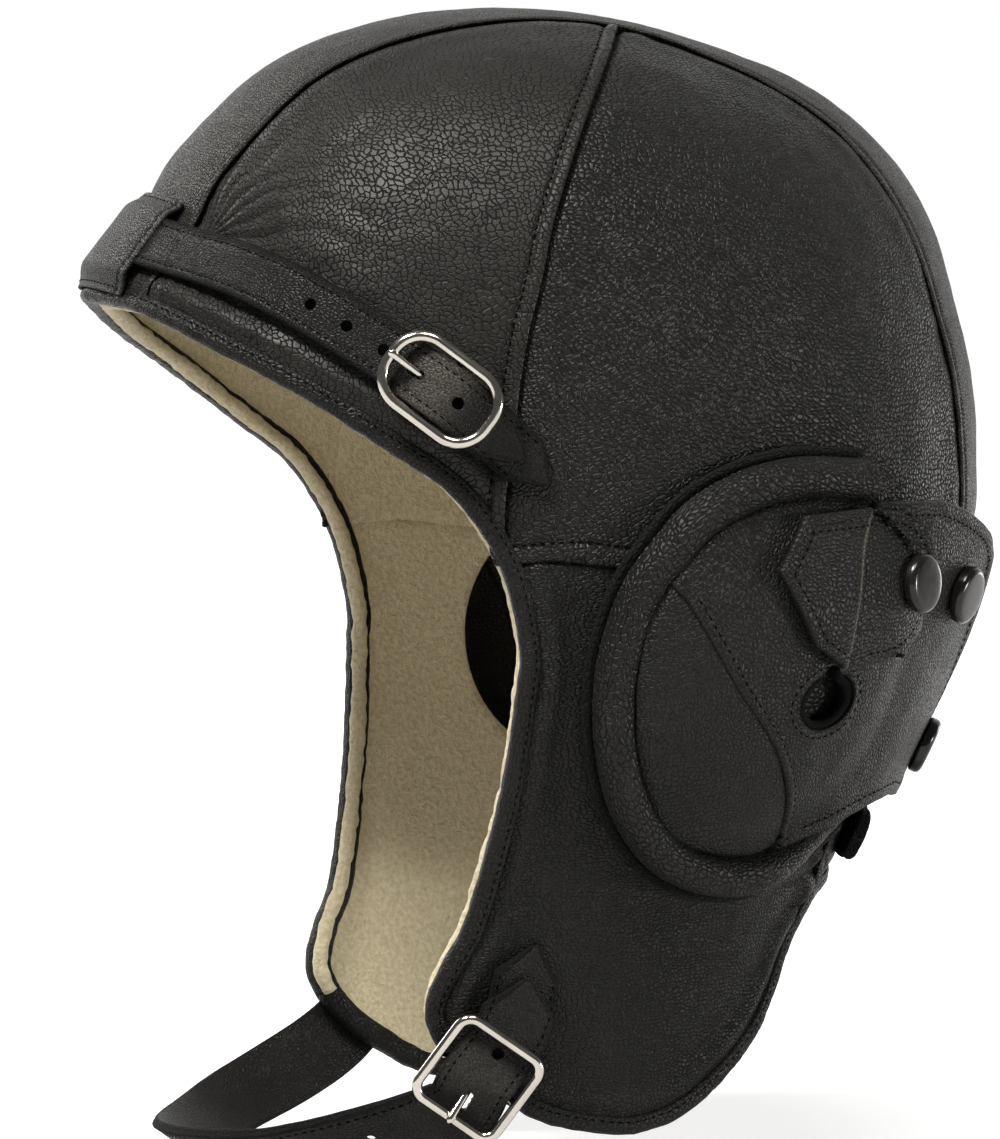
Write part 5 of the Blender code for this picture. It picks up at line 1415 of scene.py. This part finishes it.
def softened(values, rounds):
    """Values averaged with their neighbours, some rounds over."""
    for _ in range(rounds):
        values = np.concatenate([values[:1], (values[:-2] + 2 * values[1:-1] + values[2:]) / 4, values[-1:]])
    return values


# %% A strap from its stops
def strap_piece(name, track, stops, width, thick=2.2 * MM, start=0.0, end=None, rounds=10, rub=None):
    """A strap from (distance, lift, share of the width) stops, and its upper middle line."""
    stops = np.array(stops)
    end = track.length if end is None else end
    distance = np.linspace(start, end, round((end - start) / (0.9 * MM)) + 1)
    lift = softened(np.interp(distance, stops[:, 0], stops[:, 1]), rounds)
    share = np.interp(distance, stops[:, 0], stops[:, 2])
    points, run, normal = track.at(distance)
    across = np.cross(run, normal)
    ring, raw = strap_ring(width, thick)
    y = ring[None, :, 0] * share[:, None]
    z = lift[:, None] + ring[None, :, 1]
    rings = points[:, None] + across[:, None] * y[..., None] + normal[:, None] * z[..., None]
    bumps = 0.12 * MM * (wander(rings, 7.0 * MM, len(name), 2) + 0.6 * wander(rings, 2.6 * MM, len(name) + 5, 1))
    rings = rings + normal[:, None] * bumps[..., None]
    marks = {"raw": np.broadcast_to(raw, rings.shape[:2])}
    if rub is not None:
        marks["rubbed"] = rub(distance)[:, None] * (ring[None, :, 1] > thick * 0.5)
    path = points + normal * (lift[:, None] + thick), across, distance
    return sweep_piece(name, rings, strap_leather, marks=marks), path


HUMP = ((-1.6, 0.0), (-1.15, 0.0), (-0.85, 0.03), (-0.68, 0.25), (-0.45, 0.70), (-0.22, 0.95), (0.0, 1.0),
        (0.22, 0.95), (0.45, 0.68), (0.68, 0.24), (0.85, 0.03), (1.15, 0.0))
STRAP_LIFT, TIP_LIFT, PEAK_LIFT, POINT = 0.8 * MM, 2.1 * MM, 5.3 * MM, 7.0 * MM


def buckled_stops(total, buckle_at, half):
    """Stops of a strap with pointed ends that climbs over a buckle's bar."""
    stops = [(0.0, STRAP_LIFT, 0.12), (POINT, STRAP_LIFT, 1.0)]
    for reach, share in HUMP:
        base = STRAP_LIFT if reach < 0.0 else TIP_LIFT
        stops.append((buckle_at + reach * half, base + (PEAK_LIFT - base) * share, 1.0))
    return stops + [(total - POINT, TIP_LIFT, 1.0), (total, TIP_LIFT, 0.12)]


def punch(strap, track, buckle_at, steps, pitch):
    """The slot for the prong and the round holes."""
    middle = buckle_at - 5.1 * MM
    cutters = [hole_cutter(track.frame(middle + x), 1.02 * MM, length=24.0 * MM, sides=24)
               for x in (-2.4 * MM, -1.2 * MM, 0.0)]
    cutters += [hole_cutter(track.frame(middle + step * pitch), 1.3 * MM, length=16.0 * MM, sides=28)
                for step in steps]
    cut_away(strap, *cutters)
    remove(*cutters)


def strap_seams(path, width, strap, offset=1.9 * MM, margin=3.0 * MM):
    """Two lines of stitches along a strap."""
    points, across, distance = path
    keep = (distance > distance[0] + margin) & (distance < distance[-1] - margin)
    for side in (-1.0, 1.0):
        sew(points[keep] + across[keep] * side * (width / 2 - offset), strap, "helmet")


# %% Paths of the brow strap and the chin strap
BROW = ((-77.7, 0.082), (-68.0, 0.221), (-54.0, 0.368), (-38.5, 0.470), (-17.0, 0.528), (0.0, 0.541),
        (17.0, 0.528), (38.5, 0.470), (54.0, 0.368), (68.1, 0.221), (77.7, 0.082))
brow_curve = form_curve(BROW)
brow_track = Track(brow_curve, outward(brow_curve))
brow_at_buckle = lengths(brow_curve)[9 * STEPS]

chin_side, chin_tip = spot(70.8, -0.892), spot(78.3, -0.745)
chin_turn, chin_low = np.array((36.0, -61.0, -140.0)) * MM, np.array((0.0, -76.0, -143.0)) * MM
chin_run = unit(np.array((0.287, 0.543, 0.790))) * 23.0 * MM * 0.56
chin_points = np.array([spot(-78.3, -0.700), chin_side * flip_x, chin_turn * flip_x, chin_low, chin_turn,
                        chin_side - chin_run, chin_side, chin_side + chin_run, chin_tip])
turn_up, low_up = np.array((0.55, -0.25, -0.80)), np.array((0.0, -0.55, -0.84))
chin_up = np.array([outward(chin_points[0]), outward(chin_points[1]), turn_up * flip_x, low_up, turn_up]
                   + [outward(chin_side)] * 3 + [outward(chin_tip)])
chin_curve = smooth_curve(chin_points)
chin_track = Track(chin_curve, smooth_curve(chin_up))
chin_at_buckle = lengths(chin_curve)[6 * STEPS]


# The pale speckles on the brow strap's hump are partly real scuffing and partly painted glints on its shiny top.
def brow_rub(distance):
    return 0.55 * hump(distance - brow_at_buckle + 1.0 * MM, 6.0 * MM) * (distance > brow_at_buckle - 9.0 * MM)


def chin_rub(distance):
    return 0.22 * hump(distance - chin_at_buckle, 6.0 * MM)


def buckled_strap(name, track, buckle_at, half, width, rub, holes, pitch):
    """A strap that climbs over its buckle's bar, sewn and punched."""
    strap, path = strap_piece(name, track, buckled_stops(track.length, buckle_at, half), width, rub=rub)
    strap_seams(path, width, strap)
    punch(strap, track, buckle_at, holes, pitch)
    return strap


brow_strap = buckled_strap("brow_strap_skin", brow_track, brow_at_buckle, 14.0 * MM, 12.7 * MM, brow_rub,
                           (-3, -2, -1, 1), 9.6 * MM)
chin_strap = buckled_strap("chin_strap_skin", chin_track, chin_at_buckle, 11.5 * MM, 16.4 * MM, chin_rub,
                           (-3, -2, 1), 12.0 * MM)
print("straps", round(brow_track.length / MM), round(chin_track.length / MM), "mm")

# %% Chapes: the short straps that hold the buckle bars
def chape_piece(name, track, buckle_at, width, reach):
    """A pointed patch with a loop round the bar, bored for the bar and slotted for the prong."""
    total = buckle_at + reach
    stops = [(buckle_at, 0.3 * MM, 1.0), (total - POINT, 0.3 * MM, 1.0), (total, 0.3 * MM, 0.12)]
    piece, path = strap_piece(name, track, stops, width, 1.7 * MM, buckle_at + 1.2 * MM, total, 2)
    matrix, slot = track.frame(buckle_at), Matrix.Diagonal((5.0 * MM, 3.0 * MM, 16.0 * MM, 1.0))
    loop = [(2.2 * MM * math.cos(a), 2.8 * MM + 2.2 * MM * math.sin(a))
            for a in np.linspace(np.pi / 2, 3 * np.pi / 2, 17)]
    loop += [(8.0 * MM, 0.5 * MM), (8.0 * MM, 1.0 * MM)]
    rings = [[(x, y, z) for x, z in loop] for y in (-width / 2 + 0.15 * MM, width / 2 - 0.15 * MM)]
    bulge = sweep_piece(name + "_loop", placed(matrix, rings), strap_leather)
    across = matrix @ Matrix.Translation((0.0, 0.0, 2.8 * MM)) @ Matrix.Rotation(math.pi / 2, 4, "X")
    cutters = (hole_cutter(across, 1.2 * MM, length=width * 1.3, sides=32),
               cutter(matrix, bmesh.ops.create_cube, size=1.0, matrix=slot))
    cut_away(bulge, *cutters)
    with edited(piece.data) as shape:
        shape.from_mesh(bulge.data)
    remove(bulge, *cutters)
    strap_seams(path, width, piece, 1.2 * MM, 8.0 * MM)
    return piece


brow_chape_curve = seat(smooth_curve(np.concatenate([brow_curve[::STEPS], [spot(86.0, -0.050)]])))
brow_chape_track = Track(brow_chape_curve, outward(brow_chape_curve))
end_point = spot(81.0, -0.640)
chin_chape_track = Track(smooth_curve(np.concatenate([chin_points, [end_point]])),
                         smooth_curve(np.concatenate([chin_up, [outward(end_point)]])))
brow_chape = chape_piece("brow_chape_skin", brow_chape_track, brow_at_buckle, 11.9 * MM, 30.0 * MM)
chin_chape = chape_piece("chin_chape_skin", chin_chape_track, chin_at_buckle, 14.2 * MM, 31.0 * MM)
print("chapes", len(brow_chape.data.polygons), len(chin_chape.data.polygons))

# %% [markdown]
# ## Buckles
# Each buckle is bent from nickel-plated wire: a rounded frame, a bar that drops below it
# so that the strap can ride over, and a prong whose eye goes round the bar. The wire is a
# circle carried along a smooth closed line, with enough sides for a clean highlight.

# %% Frames and prongs
def wire_piece(name, points, radius, matrix, closed=False, sides=16):
    """A round nickel wire along a line in the frame of a matrix; radius may change along it."""
    points = np.asarray(points)
    radius = np.broadcast_to(radius, (len(points),))
    run = unit(np.roll(points, -1, axis=0) - np.roll(points, 1, axis=0)) if closed else tangents(points)
    side = unit(np.cross(run, np.array([0.0, 0.0, 1.0])))
    over = np.cross(side, run)
    angle = circle(sides)
    rings = (points[:, None] + radius[:, None, None] * (side[:, None] * np.cos(angle)[None, :, None]
                                                         + over[:, None] * np.sin(angle)[None, :, None]))
    return sweep_piece(name, placed(matrix, rings), nickel, closed)


def rounded_line(length, width, corner, height, steps=14):
    """A closed rectangle with round corners."""
    points = []
    for quarter, (x, y) in enumerate(((1, 1), (-1, 1), (-1, -1), (1, -1))):
        for step in range(steps + 1):
            angle = math.pi / 2 * (quarter + step / steps)
            points.append((x * (length / 2 - corner) + math.cos(angle) * corner,
                           y * (width / 2 - corner) + math.sin(angle) * corner, height))
    return np.array(points)


def merged(name, *pieces):
    """Several finished meshes as one object."""
    mesh = bpy.data.meshes.new(name)
    with edited(mesh) as shape:
        for piece in pieces:
            shape.from_mesh(piece.data)
    mesh.materials.append(pieces[0].data.materials[0])
    remove(*pieces)
    return add_object(name, mesh)


def rounded_ends(points, radius):
    """Radii of a wire whose far end is rounded off."""
    left = lengths(points)[-1] - lengths(points)
    return radius * np.sqrt(np.clip(1.0 - np.clip(1.0 - left / radius, 0.0, 1.0)**2, 0.02, 1.0))


# %% Both buckles
LEVEL, BAR_LEVEL, PRONG, EYE = 6.3 * MM, 2.8 * MM, 0.85 * MM, 1.7 * MM


def make_buckle(name, track, buckle_at, length, width, wire, corner, strap_width):
    """The frame with its dropped bar, and the prong with its eye round the bar."""
    matrix = track.frame(buckle_at)
    rail, bar_half = (width - wire) / 2, strap_width / 2 - 0.1 * MM
    ring = rounded_line(length - wire, width - wire, corner, LEVEL)
    half = [(rail, LEVEL), (rail * 0.55 + bar_half * 0.45, LEVEL * 0.6 + BAR_LEVEL * 0.4), (bar_half, BAR_LEVEL),
            (bar_half * 0.5, BAR_LEVEL)]
    bar = smooth_curve([(0.0, -y, z) for y, z in half] + [(0.0, 0.0, BAR_LEVEL)]
                       + [(0.0, y, z) for y, z in reversed(half)], 6)
    buckle = merged(name + "_buckle_wire", wire_piece(name + "_ring", ring, wire / 2, matrix, True, 22),
                    wire_piece(name + "_bar", bar, 0.9 * MM, matrix))
    start = np.array((0.0, 0.0, BAR_LEVEL))
    rest = np.array((-(length - wire) / 2, 0.0, LEVEL + wire / 2 + 0.3 * MM + PRONG))
    run = unit(rest - start)
    shank = np.linspace(start + run * EYE, rest + run * 1.0 * MM, 22)
    shank = wire_piece(name + "_shank", shank, rounded_ends(shank, PRONG), matrix)
    eye = [[(math.cos(a) * (EYE + 0.5 * MM * math.cos(b)), 1.0 * MM * math.sin(b),
             BAR_LEVEL + math.sin(a) * (EYE + 0.5 * MM * math.cos(b))) for b in circle(12)] for a in circle(36)]
    eye = sweep_piece(name + "_eye", placed(matrix, eye), nickel, True)
    return buckle, merged(name + "_prong_wire", shank, eye)


brow_frame, brow_prong = make_buckle("brow", brow_chape_track, brow_at_buckle, 28.0 * MM, 18.6 * MM, 2.5 * MM,
                                     6.9 * MM, 12.7 * MM)
chin_frame, chin_prong = make_buckle("chin", chin_chape_track, chin_at_buckle, 23.0 * MM, 22.8 * MM, 2.3 * MM,
                                     3.2 * MM, 15.0 * MM)
print("buckles", len(brow_frame.data.polygons), len(brow_prong.data.polygons))

# %% [markdown]
# ## Keeper and nape strap
# A wide leather loop at the forehead keeps the brow strap in place. Behind, a short strap
# with round ends draws the neck together. Both are sewn along their edges.

# %% The forehead keeper and the nape strap
def make_keeper():
    """The keeper, and its base on the head form."""
    first, last, half = 23.6, 36.8, 19.5
    turns = np.interp(np.linspace(0.0, 3.0, 61), range(4), (first, 26.6, 34.6, last))[:, None]
    x = np.linspace(-half, half, 91)[None] * MM
    base = crest(x + 0.0 * turns, turns + 0.0 * x)
    lift = (1.5 + 2.2 * ease((turns - first) / 3.2) * ease((last - turns) / 2.5)) * MM + 0.0 * x
    lift = lift + groove(half * MM - np.abs(x), 2.0 * MM, 0.25 * MM, 0.4 * MM) + skin_waves(base, 51, 0.10 * MM)
    return sheet_piece("forehead_keeper_skin", dressed(base, lift), 1.0 * MM, strap_leather, 0.2, 1.0), base


keeper, keeper_base = make_keeper()
for line in (keeper_base[4:-4, 4], keeper_base[4:-4, -5], keeper_base[5, 4:-4], keeper_base[-6, 4:-4]):
    sew(line, keeper, "helmet")

nape_bearing = np.linspace(152.0, 208.0, 90)
nape_curve = spot(nape_bearing, np.full(90, -0.546), 3.0 * MM * ease((np.abs(nape_bearing - 180.0) - 19.0) / 10.0))
nape_track = Track(nape_curve, outward(nape_curve))
ends = [(6.0 * MM * (1.0 - math.cos(a)), max(math.sin(a), 0.05)) for a in np.linspace(0.0, math.pi / 2, 9)]
stops = [(d, 0.4 * MM, s) for d, s in ends] + [(nape_track.length - d, 0.4 * MM, s) for d, s in reversed(ends)]
nape_strap, nape_path = strap_piece("nape_strap_skin", nape_track, stops, 12.0 * MM, 2.6 * MM)
strap_seams(nape_path, 12.0 * MM, nape_strap, margin=4.0 * MM)
print("keeper and nape strap made")

# %% [markdown]
# ## Sewing everything up
# The collected lines become short meshes of edges, each point with an arrow called up
# that stands away from the leather. The stitch tree turns them into thread, the result
# is made plain mesh, and its modifier is taken off.

# %% Sew
def sewn_piece(name, lines):
    """One body's lines of stitches, as plain mesh."""
    edges, at = [], 0
    for run in lines:
        edges += [(at + i, at + i + 1) for i in range(len(run) - 1)]
        at += len(run)
    mesh = bpy.data.meshes.new(name)
    mesh.from_pydata([p for run in lines for p, up in run], edges, [])
    ups = np.array([up for run in lines for p, up in run], dtype=np.float32)
    mesh.attributes.new("up", "FLOAT_VECTOR", "POINT").data.foreach_set("vector", ups.ravel())
    piece = add_object(name, mesh)
    modifier = piece.modifiers.new("sew", "NODES")
    modifier.node_group = stitch_tree
    for item in stitch_tree.interface.items_tree:
        if item.in_out == "INPUT" and item.name in STITCH:
            modifier[item.identifier] = STITCH[item.name]
    bpy.context.view_layer.update()
    return bake(piece)


flip = Matrix.Diagonal((-1.0, 1.0, 1.0))
left = stitch_lines.pop("helmet_l")
stitch_lines["helmet"] += left + [[(flip @ point, flip @ up) for point, up in run] for run in left]
sewn = {body: sewn_piece("thread_shell" if body == "helmet" else "thread_" + body, stitch_lines[body])
        for body in ("helmet", "cover_l", "cable_l")}
print("stitches", {body: len(piece.data.polygons) for body, piece in sewn.items()})

# %% [markdown]
# ## Easing the crown
# The plain form is a little fuller than the worn helmet at the brow and behind the top.
# Leather goes slack there, so everything that lies near the middle line is drawn in by
# a few millimetres, by a table of drops over the turn from front to back.

# %% Draw the slack in
DROPS = smooth_curve([
    (0, 0.0), (14, 0.1), (21, 0.8), (25, 2.4), (29, 4.4), (33, 5.9), (36, 6.3), (39, 5.4), (42, 4.7), (49, 3.8),
    (57, 1.9), (66, 1.0), (80, 0.6), (90, 0.9), (99, 2.2), (108, 3.6), (115, 3.8), (122, 3.0), (130, 1.8),
    (140, 1.0), (148, 1.2), (157, 1.9), (166, 1.3), (180, 0.9), (190, 0.4), (200, 0.0)])


def draw_in(points):
    """Move points near the middle line towards the head's centre."""
    turn = np.degrees(np.arctan2(points[:, 2], -points[:, 1])) % 360.0
    drop = np.interp(np.where(turn > 270.0, 0.0, turn), DROPS[:, 0], DROPS[:, 1]) * MM
    fall = 1.0 - ease((np.abs(points[:, 0]) - 26.0 * MM) / (48.0 * MM))
    far = np.linalg.norm(points, axis=1)
    return points * (1.0 - drop * fall / np.maximum(far, 1.0 * MM))[:, None]


drawn = [thing for thing in bpy.data.objects if thing.type == "MESH" and thing.name not in frame["nodes"]]
for thing in drawn:
    places = np.empty(len(thing.data.vertices) * 3, dtype=np.float32)
    thing.data.vertices.foreach_get("co", places)
    places = draw_in(places.reshape(-1, 3).astype(float))
    thing.data.vertices.foreach_set("co", places.astype(np.float32).ravel())
    thing.data.update()
print("pieces drawn in", len(drawn))

# %% [markdown]
# ## Riding on the frame
# Each finished piece now stands in for its solid in the frame, and most ride on that
# solid's body. The cover with its flap, and the cable flap, cross a hinge; their solids are
# hidden, but they are put on no body.

# %% How a piece goes onto its body
def blend_pair(piece, slot, joint_name, half, *nodes):
    """A left piece and its twin, which cross their hinges: hides the solids they stand for and fixes their places; the
    line across each hinge is worked out but not used.
    """
    for thing, side in ((piece, str), (twin(piece), swapped)):
        joint = hinges[side(joint_name)]
        anchor = np.array(joint["pos_m"])
        direction = unit(np.cross(np.array(joint["axis"]), outward(anchor)))
        moving = np.mean(np.array(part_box(joint["child"]), dtype=float), axis=0) - anchor
        direction = -direction if direction @ moving < 0.0 else direction
        if nodes:
            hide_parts(*[side(node) for node in nodes])
        start, end = anchor - direction * half, anchor + direction * half
        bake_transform(thing)


def settle(piece, body, slot, *nodes):
    """Say which body carries a piece and the solids it stands for; the finish it is given is not used.
    A piece named _l gets a twin."""
    sides = [(piece, str)]
    if piece.name.endswith("_l"):
        sides.append((twin(piece), swapped))
    for thing, side in sides:
        if nodes:
            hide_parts(*[side(node) for node in nodes])
        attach(thing, side(body))


# %% Settle every piece
blend_pair(ear_cover, "cup_leather", "rear_flap_swing_l", 3.0 * MM, "ear_cover_l", "rear_flap_l")
blend_pair(sewn["cover_l"], "edge_leather", "rear_flap_swing_l", 3.0 * MM)
blend_pair(cable_flap, "strap_leather", "cable_tab_fold_l", 0.9 * MM, "cable_patch_l", "cable_tab_l")
blend_pair(sewn["cable_l"], "edge_leather", "cable_tab_fold_l", 0.9 * MM)

for rider in (
        (band_piece, "helmet", "band_leather", "crown_band"),
        (front_piece, "helmet", "panel_leather", "front_panel_l"),
        (side_piece, "helmet", "panel_leather", "side_panel_l"),
        (neck_piece, "helmet", "panel_leather", "neck_panel_l"),
        (lining_band, "helmet", "lining_cloth", "lining_crown"),
        (lining_front, "helmet", "lining_cloth", "lining_front_panel_l"),
        (lining_side, "helmet", "lining_cloth", "lining_side_panel_l"),
        (lining_neck, "helmet", "lining_cloth", "lining_neck_panel_l"),
        (face_edge, "helmet", "edge_leather", "face_binding"),
        (hem_edge, "helmet", "edge_leather", "hem_binding"),
        (face_fleece, "helmet", "lining_cloth"),
        (ring_piece, "helmet", "cup_leather", "ear_ring_l"),
        (ear_front, "helmet", "cup_leather", "ear_front_l"),
        (inner_skin, "helmet", "cup_leather"),
        (hole_felt, "helmet", "lining_cloth"),
        (caps[0], "helmet", "snap_black", "snap_cap_front_l"),
        (caps[1], "rear_flap_l", "snap_black", "snap_cap_upper_l"),
        (caps[2], "rear_flap_l", "snap_black", "snap_cap_lower_l"),
        (brow_strap, "helmet", "strap_leather", "brow_strap"),
        (chin_strap, "helmet", "strap_leather", "chin_strap"),
        (brow_chape, "helmet", "strap_leather", "brow_chape"),
        (chin_chape, "helmet", "strap_leather", "chin_chape"),
        (keeper, "helmet", "strap_leather", "forehead_keeper"),
        (nape_strap, "helmet", "strap_leather", "nape_strap"),
        (brow_frame, "brow_buckle", "nickel", "brow_buckle_frame"),
        (brow_prong, "brow_prong", "nickel", "brow_prong"),
        (chin_frame, "chin_buckle", "nickel", "chin_buckle_frame"),
        (chin_prong, "chin_prong", "nickel", "chin_prong"),
        (sewn["helmet"], "helmet", "edge_leather")):
    settle(*rider)

# %% [markdown]
# ## Camera, floor and light
# The photograph looks at the wearer's left side from slightly in front, with a long
# lens and a white background. The floor and the backdrop show white to the camera, and
# soft lamps light the leather so that its grain reads.

# %% Camera
def aim(thing, spot_m, goal=(0.0, 0.0, 0.0)):
    """Put a camera or a lamp at a spot and turn it towards a goal."""
    thing.location = spot_m
    thing.rotation_euler = (Vector(goal) - Vector(spot_m)).to_track_quat("-Z", "Y").to_euler()


azimuth, elevation, away = math.radians(75.0), math.radians(3.0), 2.4
view = Vector((math.cos(elevation) * math.sin(azimuth), -math.cos(elevation) * math.cos(azimuth), math.sin(elevation)))
camera = scene.camera = add_object("camera", bpy.data.cameras.new("camera"))
aim(camera, view * away)
SENSOR, PHOTO, PIXEL, ORIGIN = 36.0, (1000, 1139), 0.22 * MM, (530, 480)
camera.data.sensor_width = SENSOR
camera.data.lens = SENSOR * away / (PHOTO[1] * PIXEL)
camera.data.shift_x = (PHOTO[0] / 2 - ORIGIN[0]) / PHOTO[1]
camera.data.shift_y = (ORIGIN[1] - PHOTO[1] / 2) / PHOTO[1]

# %% Floor and world
WHITE = (1.0, 1.0, 1.0, 1.0)


def background_rays(tree):
    """1 for rays that show the background: from the camera, in metal or through glass."""
    camera_ray = place(tree, "ShaderNodeLightPath", "Is Camera Ray")
    seen = maths("MAXIMUM", camera_ray, camera_ray["Is Transmission Ray"])
    return maths("MAXIMUM", seen, camera_ray["Is Glossy Ray"]), camera_ray


def pale_floor():
    """A pale floor that keeps the shadow near the helmet and fades to white farther out."""
    material, tree, shader = new_material("pale_floor")
    at = place(tree, "ShaderNodeTexCoord", "Object")
    length = place(tree, "ShaderNodeVectorMath", "Value", {"operation": "LENGTH"}, i0=at)
    behind = vectors("DOT_PRODUCT", at, tuple(-view), "Value")
    seen, by_camera = background_rays(tree)
    back = maths("MAXIMUM", by_camera, remap(behind / length, 0.45, 0.85, 0.1, 1.0))
    glow = remap(length, 0.25, 0.9, 0.72, 1.0) * (seen * back)
    for key, value in (("Base Color", (0.55, 0.55, 0.55, 1.0)), ("Roughness", 0.9), ("Specular IOR Level", 0.1),
                       ("Emission Color", WHITE), ("Emission Strength", glow)):
        feed(value, shader[key])
    return material


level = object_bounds()[0][2] - 0.5 * MM
floor = add_object("floor", bpy.data.meshes.new("floor"))
floor.data.from_pydata([(-6, -6, level), (6, -6, level), (6, 6, level), (-6, 6, level)], [], [(0, 1, 2, 3)])
floor.data.materials.append(pale_floor())

world = scene.world = bpy.data.worlds.new("studio")
world.use_nodes = True
tree = world.node_tree
seen, by_camera = background_rays(tree)
towards = vectors("DOT_PRODUCT", place(tree, "ShaderNodeTexCoord", "Generated"), tuple(-view), "Value")
backdrop = maths("MAXIMUM", by_camera, remap(towards, 0.35, 0.80, 0.08, 1.0))
feed(WHITE, tree.nodes["Background"].inputs["Color"])
feed(seen * backdrop + (1.0 - seen) * 0.11, tree.nodes["Background"].inputs["Strength"])
print("floor at", round(level / MM, 1), "mm")

# %% Soft lamps
for name, spot_m, size, power in (("key", (0.60, -1.15, 2.10), 0.65, 72.0), ("side", (0.55, 1.00, -0.08), 0.22, 5.2),
                                  ("rear", (-0.60, 1.05, -0.08), 0.3, 1.5), ("top", (1.1, 0.0, 2.0), 0.8, 26.0),
                                  ("far_side", (-1.6, -0.9, 0.9), 0.9, 13.0)):
    data = bpy.data.lights.new(name, "AREA")
    data.shape, data.size, data.energy, data.color = "DISK", size, power, (1.0, 0.975, 0.93)
    aim(add_object(name, data), spot_m)
scene.view_settings.view_transform = "Standard"
print("lamps", [lamp.name for lamp in bpy.data.lights])
